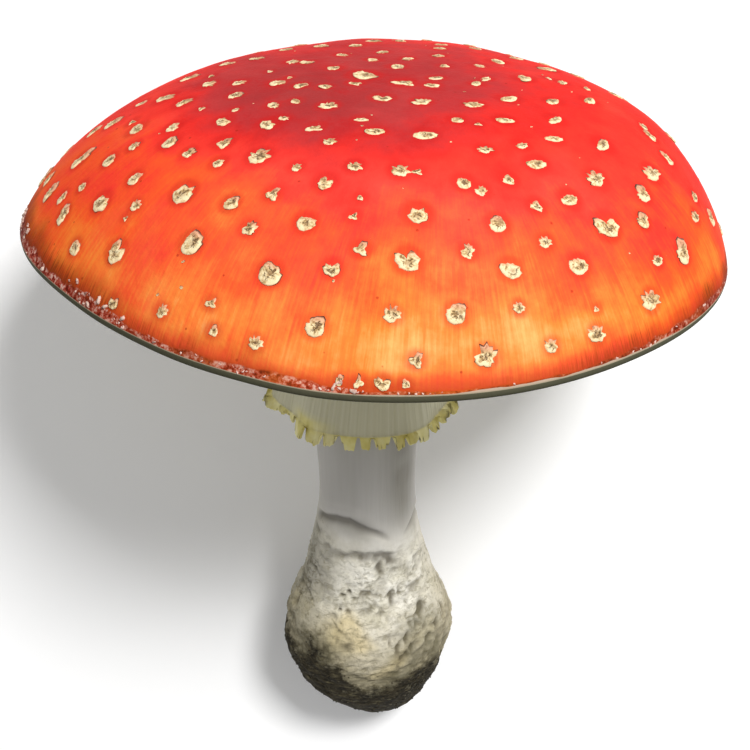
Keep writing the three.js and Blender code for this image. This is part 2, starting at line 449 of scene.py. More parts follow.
wart_share, wart_azimuth, wart_kind, wart_radius = wart_places()
wart_at = dome_point(wart_share, wart_azimuth)
print(f"warts {2 * wart_radius.max():.1f} mm across at most")

# %% [markdown]
# A grown cap isn't turned on a lathe: slow swells and small hills run over it. They are
# noise on the flat plane of the rim, and stop short of the rim, whose line is the CAD's.

# %% Hills on the dome
SWELL = 0.45
SWELL_SIZE = 22
GRAIN = 0.07
GRAIN_SIZE = 3.5


def front_side(azimuth, middle, spread):
    """1 at an azimuth in degrees, falling to 0 a spread away from it."""
    away = np.abs((np.degrees(azimuth) - middle + 180) % 360 - 180)
    return 1 - fade(away, 0, spread)


def around_stem(azimuth, stops):
    """Even steps round the stem's axis between (degrees, value) stops."""
    return np.interp(np.degrees(azimuth) % 360, *zip(*stops), period=360)


def flat_place(share, azimuth):
    """Millimetres in the plane of the rim, for noise."""
    return np.stack([np.cos(azimuth) * share, np.sin(azimuth) * share, 0 * share], -1) * CAP_RADIUS


def cap_hills(share, azimuth):
    """How far the real dome stands above its rule, in mm."""
    flat = flat_place(share, azimuth)
    hills = SWELL * layered(flat, SWELL_SIZE, 3, 2) + GRAIN * layered(flat, GRAIN_SIZE, 5, 2)
    return hills * (1 - share ** 10)


print(f"hills up to {cap_hills(0 * all_round + 0.5, all_round).max():.2f} mm half-way out")

# %% [markdown]
# The skin is crimson round the middle and fades to orange and yellow near the rim, where
# rain has washed it. A picture could hold that, but a rule stays sharp at any size. One
# number does: its warmth, from 0, crimson, through red and orange to 1, yellow-orange. It
# grows outward, less so at the back, with zones of its own and noise.

# %% How warm the skin is
WARMTH_INSIDE = [(0, 0.04), (0.2, 0.12), (0.36, 0.24), (0.5, 0.37), (0.62, 0.45), (0.75, 0.5)]
WARMTH_OUTSIDE = [(0, 0.44), (0.6, 0.46), (0.7, 0.54), (0.8, 0.66), (0.88, 0.77), (0.955, 0.93),
                  (0.98, 0.9), (1, 0.66)]
BACK_REDDER = 0.24
# Zones: azimuth and spread, the shares where one comes in and goes out, and its warmth.
WARMTH_ZONES = [
    (228, 26, 0.7, 0.95, 2, 3, -0.04), (205, 45, 0.6, 0.7, 0.7, 0.95, 0.03),
    # The zone at 215 degrees makes the left of the cap redder and darker, partly as painted shade.
    (215, 60, 0.2, 0.4, 0.5, 0.8, -0.14), (268, 30, 0.45, 0.6, 0.75, 0.85, 0.06),
    (232, 10, 0.87, 0.91, 0.97, 0.99, -0.14), (292, 10, 0.84, 0.88, 1, 1.02, -0.04),
    (300, 12, 0.82, 0.86, 0.93, 0.95, -0.09), (319, 10, 0.82, 0.86, 0.95, 0.97, -0.12),
    (310, 42, 0.955, 0.995, 1, 1.02, -0.1), (190, 14, 0.84, 0.88, 0.95, 0.97, -0.08),
    (345, 40, 0.3, 0.5, 0.5, 0.75, -0.06)]


def cap_warmth(share, azimuth):
    flat = flat_place(share, azimuth)
    # The crimson middle lies off the axis, to the left and a little to the front, which darkens the left
    # side partly as painted shade.
    off_centre = np.hypot(flat[..., 0] + 13, 0.9 * flat[..., 1] + 4) / CAP_RADIUS
    inside = np.interp(off_centre, *zip(*WARMTH_INSIDE))
    outside = np.interp(share, *zip(*WARMTH_OUTSIDE))
    warmth = inside + (outside - inside) * fade(share, 0.5, 0.7)
    warmth -= BACK_REDDER * fade(share, 0.7, 0.95) * (1 - front_side(azimuth, 268, 112))
    for middle, spread, comes, here, goes, gone, warmer in WARMTH_ZONES:
        zone = front_side(azimuth, middle, spread) * fade(share, comes, here) * fade(share, gone, goes)
        warmth += warmer * zone
    warmth += 0.11 * layered(flat, 19, 21, 2) * fade(share, 0.1, 0.5) + 0.06 * bumps(flat, 6, 25)
    return np.clip(warmth, 0, 1)


def cap_sheen(share, azimuth, flat):
    """A pale painted sheen over the front of the skin, and in pale patches all over it."""
    # Painted sheen over the front, from half-way out to the rim.
    worn = front_side(azimuth, 268, 66) * fade(share, 0.52, 0.7)
    sheen_patches = fade(layered(flat, 10, 39, 2), 0.15, 0.6)
    return np.clip(worn * (0.8 + 0.6 * bumps(flat, 14, 38)) + 0.3 * sheen_patches, 0, 1)


print("zones with a warmth of their own:", len(WARMTH_ZONES))

# %% [markdown]
# Along the rim the skin has dried brown, most at the left and the right, and there it is
# cracked into scales and torn into shreds. Where that is worst is laid down by azimuth,
# and noise frays its borders. A softer brown shade lies above the browned band.

# %% How the rim is browned
# How browned the rim is, from 0 to 1, at azimuths in degrees.
BURNT_ROUND = [
    (20, 0.6), (60, 0.9), (120, 0.7), (180, 0.9), (205, 1), (216, 0.9), (228, 0.75), (236, 0.5),
    (243, 0.75), (252, 0.35), (265, 0.25), (290, 0.2), (305, 0.42), (320, 0.8), (340, 0.92)]
# How torn the rim is, from 0 to 1.
TORN_ROUND = [
    (20, 0.3), (120, 0.5), (190, 0.5), (205, 1), (222, 1), (232, 0.5), (245, 0.7), (252, 0.8),
    (259, 1), (266, 0.8), (273, 0.5), (279, 0), (300, 0), (312, 0.1), (320, 0.6), (328, 0.2),
    (336, 0.4), (344, 0.2)]
# The width of the browned band in mm, and azimuths and spreads where it is wider or narrower.
SCORCH_WIDTH = 2.2
SCORCH_LEAST = 0.8
SCORCH_WIDER = [(188, 22, 5), (214, 26, 1.6), (326, 24, 1.0), (259, 13, 1.5), (290, 40, -0.9), (70, 60, 3)]


def cap_scorch(from_rim, azimuth, flat):
    """Where the skin is browned, from 0 to 1, and the width of the band in mm."""
    width = 0 * from_rim + SCORCH_WIDTH
    for middle, spread, wider in SCORCH_WIDER:
        width += wider * front_side(azimuth, middle, spread)
    width = np.maximum(width * (1 + 0.45 * bumps(flat, 7, 31) + 0.3 * bumps(flat, 2.5, 32)), SCORCH_LEAST)
    return np.where(from_rim >= 0, fade(from_rim, width, 0.15 * width), 1), width


def cap_burnt(azimuth, flat):
    """How dark the browned band is: hardly more than orange in front."""
    return np.clip(around_stem(azimuth, BURNT_ROUND) + 0.3 * bumps(flat, 7, 36), 0, 1)


def cap_toast(from_rim, width, burnt):
    """A soft brown shade above the browned band, and a slight one along the whole rim."""
    toast = burnt * fade(from_rim, width + 4, width - 0.5)
    return np.clip(np.maximum(toast, 0.7 * fade(from_rim, 4.5, 0.8)), 0, 1)


print("stops for the browned rim:", len(BURNT_ROUND), "and for its tears:", len(TORN_ROUND))

# %% [markdown]
# The skin is a deeper red close round each wart, reaching a little further to its back,
# where it is a painted shadow. A texture can't know where the warts are, but their list
# does, so the nearness to the next wart is kept on the mesh.

# %% Redder skin and painted shadow round the warts
HALO_WIDTH = 1.5
HALO_LEAST_WART = 0.6


def wart_halo_and_shadow(points):
    """1 close round a wart, fading to 0 within a millimetre or two, reaching further to its back as a
    painted shadow.
    """
    halo_and_shadow = np.zeros(len(points))
    shadow_side = np.array([0, 0.35, 0])
    for seat, radius in zip(wart_at, wart_radius):
        if radius > HALO_LEAST_WART:
            near = np.abs(points - seat).max(-1) < radius + 2 * HALO_WIDTH
            away = np.linalg.norm(points[near] - seat - shadow_side, axis=-1) - 0.8 * radius
            halo_and_shadow[near] = np.maximum(halo_and_shadow[near], fade(away, HALO_WIDTH, 0.0))
    return halo_and_shadow


print("warts with redder skin round them:", int((wart_radius > HALO_LEAST_WART).sum()))

# %% [markdown]
# The cap is one skin over firm flesh. Its profile runs from the apex over the dome to
# the rim, round a thin lip and back under the flesh. A lathe could turn it, but not with
# an oval rim and hills, so its rings are worked out point by point. They lie closer
# together near the rim, where the skin turns down steeply and has its finest detail.

# %% The cap's mesh
CAP_ROUND = 480
SCALLOP = 0.35
# The lip: how far in from the rim and how high, in mm.
LIP = [(0.0, -0.25), (0.04, -0.55), (0.12, -1.0), (0.4, -1.5), (1.0, -1.8), (1.8, -1.5)]


def cap_profile():
    """Shares and heights from the apex to the middle of the underside, and how far along
    the skin the rim is from each. Past the rim that is less than nothing."""
    dome = np.concatenate([np.linspace(0, 0.8, 76, endpoint=False), 1 - 0.2 * np.linspace(1, 0, 84) ** 1.6])
    inward, lip_height = np.array(LIP).T
    under = np.linspace(0.972, 0, 24)
    share = np.concatenate([dome, 1 - inward / CAP_RADIUS, under])
    height = np.concatenate([dome_height(dome), lip_height, flesh_height(under)])
    along = np.concatenate([[0], np.cumsum(np.hypot(np.diff(share * CAP_RADIUS), np.diff(height)))])
    return share, height, along[len(dome) - 1] - along


def mark_rim(piece, from_rim, azimuth, flat):
    """Keeps on the mesh where the skin near the rim is browned, scaly, torn and pale."""
    scorch, width = cap_scorch(from_rim, azimuth, flat)
    burnt = cap_burnt(azimuth, flat)
    store(piece, "scorch", scorch)
    store(piece, "burnt", burnt)
    store(piece, "toast", cap_toast(from_rim, width, burnt))
    scaly = fade(scorch, 0.6, 0.85) * fade(bumps(flat, 4, 33), -0.4, 0.3)
    store(piece, "scaly", scaly * (from_rim > 0.3))
    # Pale shreds lie in clumps along the band, and raw flesh shows between its scales.
    torn = fade(bumps(flat, 5, 34), 0.1, 0.4) * fade(from_rim, width + 0.7, width - 0.3)
    raw = around_stem(azimuth, TORN_ROUND)
    store(piece, "torn", torn * fade(from_rim, 0.4, 1) * raw)
    store(piece, "raw", raw * np.clip(0.7 + 0.9 * bumps(flat, 3, 35), 0, 1))
    # The skin ends a little above the rim, and higher still in front, to the right.
    pale = 0.4 * front_side(azimuth, 298, 45) * np.clip(0.8 + 0.8 * bumps(flat, 2.5, 37), 0.3, 1.3)
    store(piece, "past_edge", 0.05 + pale - from_rim)


def make_cap():
    azimuth = np.linspace(0, 2 * math.pi, CAP_ROUND, endpoint=False)
    share, height, from_rim = (np.repeat(values[:, None], CAP_ROUND, 1) for values in cap_profile())
    azimuth = np.repeat(azimuth[None], len(share), 0)
    top = from_rim >= 0
    flat = flat_place(share, azimuth)
    scallop = SCALLOP * bumps(flat, 16, 9) * share ** 8
    points = on_cap(share, azimuth, height + cap_hills(share, azimuth) * top + scallop, top)
    points = to_upright(points)
    piece = from_rings("cap_flesh_and_skin", points)
    store(piece, "from_rim", from_rim)
    store(piece, "share", share)
    store(piece, "warmth", cap_warmth(share, azimuth))
    store(piece, "painted_sheen", cap_sheen(share, azimuth, flat))
    store(piece, "halo_and_shadow", wart_halo_and_shadow(points.reshape(-1, 3)) * top.ravel())
    mark_rim(piece, from_rim, azimuth, flat)
    # Streaks run out to the rim, and slant a little on the right.
    slant = azimuth - 0.55 * (share - 1) * front_side(azimuth, 318, 60)
    store(piece, "streak", np.stack([np.cos(slant), np.sin(slant), share * 0.12], -1))
    weld(piece.data)
    return piece


cap = make_cap()
print("cap:", len(cap.data.polygons), "faces")

# %% [markdown]
# The skin is a thin gelatinous layer with fine streaks that run out to the rim. Streaks
# about half a millimetre wide and 5 mm long, and blotches of some millimetres, push the
# stored warmth up and down before it becomes a colour. That keeps the mottling within the
# skin's own reds, where grey noise laid over them would dirty them.

# %% Clean skin
SKIN_COLOURS = [(0.0, "#A83334"), (0.2, "#BE3536"), (0.4, "#E8302A"), (0.56, "#F83E30"),
                (0.72, "#FB5E2A"), (0.86, "#FC8734"), (1.0, "#FDB464")]


def clean_skin(tree, place, streaked, blotches):
    warmth, painted_sheen, halo_and_shadow = (
        add(tree, "Attribute", attribute_name=name, out="Fac") for name in ("warmth", "painted_sheen", "halo_and_shadow"))
    blotched = add(tree, "Math", blotches, 0.36, -0.18, operation="MULTIPLY_ADD")
    warm = add(tree, "Math", warmth, streaked, operation="ADD")
    warm = add(tree, "Math", warm, blotched, operation="ADD")
    base = add(tree, "ValToRGB", warm, stops=SKIN_COLOURS)
    # Deep red clouds round the middle, and a pale painted sheen, over the front and in patches.
    clouds = add(tree, "TexNoise", place, Scale=per_mm(13), Detail=5.0, Roughness=0.65, Distortion=0.5)
    clouds = add(tree, "MapRange", clouds, 0.52, 0.68, 0.0, 0.5)
    inward = add(tree, "MapRange", warmth, 0.55, 0.3)
    clouds = add(tree, "Math", clouds, inward, operation="MULTIPLY")
    base = add(tree, "Mix", clouds, base, "#BE1A1C", data_type="RGBA")
    # How strong the pale painted sheen is.
    worn = add(tree, "Math", painted_sheen, blotches, operation="MULTIPLY")
    worn = add(tree, "Math", worn, 0.075, operation="MULTIPLY")
    base = add(tree, "Mix", worn, base, "#FFD0C0", data_type="RGBA")
    # Small dark red specks, where the skin was grazed, and redder skin round each wart, partly a painted
    # shadow.
    grazed = add(tree, "TexVoronoi", place, Scale=per_mm(5), Randomness=1.0)
    grazed = add(tree, "MapRange", grazed, 0.07, 0.045, 0.0, 0.6)
    base = add(tree, "Mix", grazed, base, "#A02A1C", data_type="RGBA")
    near_wart = add(tree, "Math", halo_and_shadow, blotches, operation="MULTIPLY")
    return add(tree, "Mix", near_wart, base, "#C8201E", data_type="RGBA")


print(len(SKIN_COLOURS), "colours from crimson to yellow-orange")

# %% [markdown]
# The rim's skin is browned in dark streaks that reach up like a frayed hem. Below them it
# is cracked and scaly, with raw pink flesh and pale shreds in the cracks. Each of these
# is a layer of its own, from the softest shade to the sharpest mark.

# %% Browned rim
SCALES_DARK = [(0.34, "#42180F"), (0.46, "#74261A"), (0.58, "#8E3A28"), (0.68, "#B07060")]
SCALES_LIGHT = [(0.34, "#8A3C18"), (0.45, "#B0501E"), (0.58, "#C8602A"), (0.68, "#D8906C")]
RAW_FLESH = [(0.36, "#6A1E14"), (0.45, "#A8301F"), (0.53, "#CC7460"), (0.6, "#EABEAE")]


def browned_rim(tree, base, streak):
    burnt, scorch, toast, from_rim = (
        add(tree, "Attribute", attribute_name=name, out="Fac")
        for name in ("burnt", "scorch", "toast", "from_rim"))
    shade = add(tree, "Math", toast, 0.62, operation="MULTIPLY")
    base = add(tree, "Mix", shade, base, "#8A4410", data_type="RGBA")
    # Streaks up to 6.8 mm tall, where the rim is burnt.
    hairs = add(tree, "TexNoise", streak, Scale=190.0, Detail=2.0, Roughness=0.8)
    reach = add(tree, "MapRange", hairs, 0.32, 0.66, 0.0, 6.8)
    reach = add(tree, "Math", reach, burnt, operation="MULTIPLY")
    above = add(tree, "Math", reach, from_rim, operation="SUBTRACT")
    brown = add(tree, "MapRange", above, -0.8, 2.2, 0.0, 0.68)
    brown = add(tree, "Math", brown, scorch, operation="MAXIMUM")
    rust = add(tree, "Mix", burnt, "#D2501E", "#6A3012", data_type="RGBA")
    return add(tree, "Mix", brown, base, rust, data_type="RGBA")


def scaly_rim(tree, base, place):
    burnt, scorch, raw, torn = (
        add(tree, "Attribute", attribute_name=name, out="Fac")
        for name in ("burnt", "scorch", "raw", "torn"))
    # Scales of a millimetre in the band, raw where the rim is torn.
    scales = add(tree, "TexNoise", place, Scale=per_mm(1.1), Detail=3.0, Roughness=0.7)
    light = add(tree, "ValToRGB", scales, stops=SCALES_LIGHT)
    dark = add(tree, "ValToRGB", scales, stops=SCALES_DARK)
    scaly = add(tree, "Mix", burnt, light, dark, data_type="RGBA")
    band = add(tree, "MapRange", scorch, 0.55, 0.8)
    base = add(tree, "Mix", band, base, scaly, data_type="RGBA")
    rawness = add(tree, "Math", band, raw, operation="MULTIPLY")
    flesh = add(tree, "ValToRGB", scales, stops=RAW_FLESH)
    base = add(tree, "Mix", rawness, base, flesh, data_type="RGBA")
    # Pale shreds along the upper border of the band.
    border = add(tree, "ValToRGB", scorch, stops=[(0.4, 0.0), (0.52, 1.0), (0.62, 1.0), (0.74, 0.0)])
    shreds = add(tree, "MapRange", scales, 0.49, 0.56, 0.0, 0.9)
    shreds = add(tree, "Math", border, shreds, operation="MULTIPLY")
    shreds = add(tree, "Math", shreds, torn, operation="MULTIPLY")
    return add(tree, "Mix", shreds, base, "#E8BFB2", data_type="RGBA")


print("layers of the browned rim ready")

# %% [markdown]
# Past the rim come a thin pale torn edge of flesh and the lip, whose dark olive band is
# painted shade under the rim. The moist skin could be given a sharp gloss, but it is
# finely uneven and hardly shines. A low specular level and index of refraction keep its
# reds deep under a broad lamp.

# %% Cap skin
# The lip's dark olive band is painted shade under the rim; further in it is cream.
LIP_AND_SHADE_COLOURS = [(0.3, "#E4DCC6"), (0.38, "#A89E80"), (0.5, "#4A4A3A"), (0.86, "#5C5A48"),
               (0.885, "#A89C84"), (0.95, "#C0A894")]


def skin_material():
    material, tree, shader = new_material("Cap skin, moist gelatinous cuticle")
    place = add(tree, "TexCoord", out="Object")
    streak = add(tree, "Attribute", attribute_name="streak", out="Vector")
    share, from_rim, past_edge = (
        add(tree, "Attribute", attribute_name=name, out="Fac")
        for name in ("share", "from_rim", "past_edge"))
    streaks = add(tree, "TexNoise", streak, Scale=110.0, Detail=3.0, Roughness=0.7)
    streaks = add(tree, "Math", streaks, 0.5, operation="SUBTRACT")
    outer = add(tree, "MapRange", share, 0.6, 0.95, 0.05, 0.28)
    streaked = add(tree, "Math", streaks, outer, operation="MULTIPLY")
    blotches = add(tree, "TexNoise", place, Scale=per_mm(7), Detail=5.0, Roughness=0.6)
    base = clean_skin(tree, place, streaked, blotches)
    base = browned_rim(tree, base, streak)
    base = scaly_rim(tree, base, place)
    lip_and_shade = add(tree, "MapRange", from_rim, -4.0, 0.5)
    lip_and_shade = add(tree, "ValToRGB", lip_and_shade, stops=LIP_AND_SHADE_COLOURS)
    below = add(tree, "MapRange", past_edge, -0.08, 0.0)
    base = add(tree, "Mix", below, base, lip_and_shade, data_type="RGBA")
    fine = add(tree, "TexNoise", place, Scale=per_mm(0.8), Detail=4.0)
    relief = add(tree, "Math", streaks, outer, fine, operation="MULTIPLY_ADD")
    bump = add(tree, "Bump", Strength=0.3, Distance=0.4 * MM, Height=relief)
    fill(tree, shader, Base_Color=base, Normal=bump, Roughness=0.45, IOR=1.05, Specular_IOR_Level=0.15)
    return material


cap.data.materials.append(skin_material())
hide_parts("cap")
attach(cap, "root")
print("cap finished")

# %% [markdown]
# A wart is a low pad with a torn outline and a sunk middle. Each could be modelled by
# hand, but a few rules with some randomness give enough shapes, and noise does the rest.
# Four kinds are cut out of the round one by changing its radius with the angle.

# %% Outlines of the warts
VARIANTS = 3
PAD_ROUND = 24
ROUGHNESS = {"round": 0.09, "jagged": 0.3, "crescent": 0.16, "triangle": 0.22, "long": 0.2, "double": 0.2}


def outline(kind, angle, rng):
    """The radius of a pad's outline at some angles; about 1 on average."""
    radius = 1 + ROUGHNESS[kind] * rng.uniform(-1, 1, len(angle)) * (1 + 0.6 * np.sin(angle))
    radius += 0.07 * np.cos(2 * angle + rng.uniform(0, 6)) + 0.05 * np.cos(3 * angle + rng.uniform(0, 6))
    if kind == "crescent":
        from_top = np.abs((angle - 1.57 + 3.14) % 6.283 - 3.14)
        radius -= 0.62 * np.exp(-(from_top / 0.42) ** 2)
    if kind == "triangle":
        radius *= 0.9 + 0.24 * np.cos(3 * (angle - 1.57))
    if kind == "double":
        radius *= 0.82 - 0.42 * np.cos(2 * angle)
    if kind == "long":
        radius *= 1 / np.sqrt((np.cos(angle) * 1.25) ** 2 + (np.sin(angle) * 0.72) ** 2)
    return radius


print(len(WART_SHAPES), "kinds of outline")

# %% [markdown]
# The pad itself is a few uneven rings inside the outline. Its foot spreads into a thin
# seam that goes just below the skin, painted dark as a shadow. How near a place lies to
# the middle, and what is the dark seam, is kept on the pad for its material.

# %% Wart shapes
# Rings of a pad, as shares of the outline's radius and heights.
PAD_RINGS = [(0.0, 0.3), (0.52, 0.42), (0.9, 0.4), (1.0, 0.2), (1.13, -0.02)]


def pad_rings(kind, rng):
    """Points, nearness to the middle and dark shadow seam of a pad, ring by ring."""
    angle = np.linspace(0, 2 * math.pi, PAD_ROUND, endpoint=False)
    edge = outline(kind, angle, rng)
    sunk = np.array([0, -0.25]) if kind == "crescent" else rng.uniform([-0.1, -0.05], [0.35, 0.35])
    points, near, shadow_seam = [], [], []
    for radius, height in PAD_RINGS:
        inside = 0 < radius < 1
        uneven = height + 0.08 * rng.uniform(-1, 1, PAD_ROUND) * inside
        flat = np.stack([np.cos(angle), np.sin(angle)], -1) * (edge * radius)[:, None]
        points.append(np.column_stack([flat + sunk * (1 - min(radius, 1)), uneven]))
        near.append(np.full(PAD_ROUND, 1 - radius) + 0.2 * rng.uniform(-1, 1, PAD_ROUND) * inside)
        shadow_seam.append(np.full(PAD_ROUND, float(radius > 1)))
    return np.concatenate(points), np.concatenate(near), np.concatenate(shadow_seam)


def make_pad(kind, variant):
    points, near, shadow_seam = pad_rings(kind, np.random.default_rng(100 * WART_SHAPES.index(kind) + variant))
    i, j = np.meshgrid(np.arange(len(PAD_RINGS) - 1), np.arange(PAD_ROUND), indexing="ij")
    row = i * PAD_ROUND
    after = (j + 1) % PAD_ROUND
    quads = np.stack([row + j, row + PAD_ROUND + j, row + PAD_ROUND + after, row + after], -1)
    foot = (len(PAD_RINGS) - 1) * PAD_ROUND + np.arange(PAD_ROUND)[::-1]
    mesh = bpy.data.meshes.new(f"pad_{kind}")
    mesh.from_pydata(points * MM, [], quads.reshape(-1, 4).tolist() + [foot.tolist()])
    pad = bpy.data.objects.new(f"pad_{WART_SHAPES.index(kind)}_{variant}", mesh)
    store(pad, "middle", near)
    store(pad, "shadow_seam", shadow_seam)
    weld(mesh, outward=False)
    mesh.shade_smooth()
    mesh.polygons[len(mesh.polygons) - 1].use_smooth = False
    return pad


pads = bpy.data.collections.new("wart_shapes")
for kind in WART_SHAPES:
    for variant in range(VARIANTS):
        pads.objects.link(make_pad(kind, variant))

# %% [markdown]
# The warts are dry and cream-white, ochre and grey-brown in the cracks. Their lower side
# is pale and their uphill side darker, as painted shade, and uphill the red of the skin
# shows through in pink. Those high on the cap get a painted olive-brown shade in patches
# there. Painting each wart would take long, so the material asks every place how far
# uphill it lies.

# %% Wart finish
WART_COLOURS = [(0.22, "#8A6A3C"), (0.3, "#C09E68"), (0.38, "#E4C894"), (0.48, "#F8E4B6")]


def wart_flesh_and_shade(tree, place):
    middle, upper, high = (
        add(tree, "Attribute", attribute_name=name, out="Fac") for name in ("middle", "upper", "high"))
    cracks = add(tree, "TexNoise", place, Scale=per_mm(1.0), Detail=3.0, Roughness=0.65, Distortion=0.6)
    # Darker uphill, as painted shade, and in the sunk middle.
    thin = add(tree, "MapRange", upper, -0.5, 0.8, 0.0, 0.13)
    thin = add(tree, "Math", middle, 0.14, thin, operation="MULTIPLY_ADD")
    tone = add(tree, "Math", cracks, thin, operation="SUBTRACT")
    base = add(tree, "ValToRGB", tone, stops=WART_COLOURS)
    pink = add(tree, "MapRange", upper, 0.35, 1.0, 0.0, 1.1)
    pink = add(tree, "Math", pink, cracks, operation="MULTIPLY")
    base = add(tree, "Mix", pink, base, "#E8907A", data_type="RGBA")
    # High on the cap, a painted olive-brown shade in patches on each wart's uphill side.
    dried = add(tree, "MapRange", upper, 0.2, 0.9, 0.0, 0.8)
    dried = add(tree, "Math", dried, high, operation="MULTIPLY")
    patches = add(tree, "TexNoise", place, Scale=per_mm(1.0), Detail=3.0)
    patches = add(tree, "MapRange", patches, 0.4, 0.56)
    dried = add(tree, "Math", dried, patches, operation="MULTIPLY")
    return add(tree, "Mix", dried, base, "#96804E", data_type="RGBA")


def wart_material():
    material, tree, shader = new_material("Veil wart, dry fibrous flesh")
    place = add(tree, "TexCoord", out="Object")
    middle, shadow_seam = (add(tree, "Attribute", attribute_name=name, out="Fac") for name in ("middle", "shadow_seam"))
    base = wart_flesh_and_shade(tree, place)
    tanned = add(tree, "MapRange", middle, 0.5, 0.9, 0.0, 0.6)
    base = add(tree, "Mix", tanned, base, "#A8845C", data_type="RGBA")
    # Thin dark cracks wind about where the pad is sunk: noise is near its mean along lines.
    winding = add(tree, "TexNoise", place, Scale=per_mm(1.5), Detail=2.0, Distortion=1.0)
    winding = add(tree, "Math", winding, 0.5, operation="SUBTRACT")
    winding = add(tree, "Math", winding, operation="ABSOLUTE")
    dark = add(tree, "MapRange", winding, 0.045, 0.015, 0.0, 0.85)
    sunk = add(tree, "MapRange", middle, 0.3, 0.65)
    dark = add(tree, "Math", dark, sunk, operation="MULTIPLY")
    base = add(tree, "Mix", dark, base, "#6E4A28", data_type="RGBA")
    # The seam round the foot is painted dark as a thin shadow.
    foot = add(tree, "MapRange", shadow_seam, 0.15, 0.6)
    base = add(tree, "Mix", foot, base, "#6A3A22", data_type="RGBA")
    bump = add(tree, "Bump", invert=True, Strength=0.9, Distance=0.3 * MM, Height=dark)
    fill(tree, shader, Base_Color=base, Normal=bump, Roughness=0.75)
    return material


print("wart finish ready")

# %% [markdown]
# Geometry Nodes stands shapes on places and keeps each one's stored numbers. A tree gets
# its inputs by name, is run by a modifier, and the result is kept as a plain mesh, so
# that nothing of the modifier is left to go wrong later.

# %% Geometry Nodes helpers
def new_geometry_tree(name, **inputs):
    """A node tree with a geometry input and some named inputs, each with its type."""
    tree = bpy.data.node_groups.new(name, "GeometryNodeTree")
    tree.interface.new_socket("Geometry", in_out="INPUT", socket_type="NodeSocketGeometry")
    sockets = {}
    for key, kind in inputs.items():
        socket = tree.interface.new_socket(key, in_out="INPUT", socket_type=f"NodeSocket{kind}")
        sockets[key] = socket.identifier
    tree.interface.new_socket("Geometry", in_out="OUTPUT", socket_type="NodeSocketGeometry")
    return tree, tree.nodes.new("NodeGroupInput").outputs, sockets


def stand(tree, points, group, turn, **settings):
    """Stands shapes of a collection on points."""
    shapes = add(tree, "GeometryNodeCollectionInfo", group, True, True)
    return add(tree, "GeometryNodeInstanceOnPoints", Points=points, Instance=shapes, Pick_Instance=True,
               Rotation=turn, **settings)


def stand_on_places(tree, given, **settings):
    """Stands on each place the shape that it names by number, turned as it says."""
    turn = add(tree, "GeometryNodeInputNamedAttribute", "turn", data_type="FLOAT_VECTOR")
    turn = add(tree, "FunctionNodeEulerToRotation", turn)
    number = add(tree, "GeometryNodeInputNamedAttribute", "kind", data_type="FLOAT")
    number = add(tree, "FunctionNodeFloatToInt", number)
    return stand(tree, given["Geometry"], given["Shapes"], turn, Instance_Index=number, **settings)


def end_tree(tree, geometry, material):
    """Ends a tree: realised instances that wear one material."""
    real = add(tree, "GeometryNodeRealizeInstances", geometry)
    worn = add(tree, "GeometryNodeSetMaterial", Geometry=real, Material=material)
    fill(tree, tree.nodes.new("NodeGroupOutput"), worn)


def grow(name, base, tree, sockets, **values):
    """Runs a tree on an object and returns what it makes as a plain mesh of its own."""
    modifier = base.modifiers.new("nodes", "NODES")
    modifier.node_group = tree
    for key, value in values.items():
        modifier[sockets[key]] = value
    bpy.context.view_layer.update()
    graph = bpy.context.evaluated_depsgraph_get()
    mesh = bpy.data.meshes.new_from_object(base.evaluated_get(graph))
    base.modifiers.remove(modifier)
    piece = bpy.data.objects.new(name, mesh)
    bpy.context.scene.collection.objects.link(piece)
    return piece


def places_object(name, points, **numbers):
    """An object of loose points in metres, each with its own numbers or vectors."""
    mesh = bpy.data.meshes.new(name)
    mesh.from_pydata(np.asarray(points).tolist(), [], [])
    places = bpy.data.objects.new(name, mesh)
    bpy.context.scene.collection.objects.link(places)
    for key, values in numbers.items():
        store(places, key, values)
    return places


def fetch(piece, name, size):
    """A stored number or vector of every vertex, as rows."""
    values = np.empty(size * len(piece.data.vertices), np.float32)
    piece.data.attributes[name].data.foreach_get("vector" if size == 3 else "value", values)
    return values.reshape(-1, size).astype(float)


print("Geometry Nodes helpers ready")

# %% [markdown]
# Each wart sits square on the dome, with its own y up the cap, so that the thick lower
# side of every pad faces the rim. Its size, its stretch and a small spin vary at random.

# %% Where each wart stands
WART_SIZE = 0.69
UPPER_WART_SIZE = 0.58
CRUMB_RADIUS = 0.6
WART_SINK = 0.1


def rule_normal(share, azimuth):
    """The dome's outward normal in the row's frame."""
    ahead = dome_point(share + 1e-3, azimuth) - dome_point(share - 1e-3, azimuth)
    around = dome_point(share, azimuth + 1e-3) - dome_point(share, azimuth - 1e-3)
    normal = np.cross(ahead, around) @ UPRIGHT
    return normal / np.linalg.norm(normal, axis=-1, keepdims=True)


def facing(normals, ahead, spins):
    """Euler turns that stand z on each normal and point y ahead, then spin about z."""
    eulers = []
    for normal, forward, spin in zip(normals, ahead, spins):
        upright = Matrix((np.cross(forward, normal), forward, normal)).transposed()
        eulers.append((upright @ Matrix.Rotation(spin, 3, "Z")).to_euler()[:])
    return np.array(eulers)


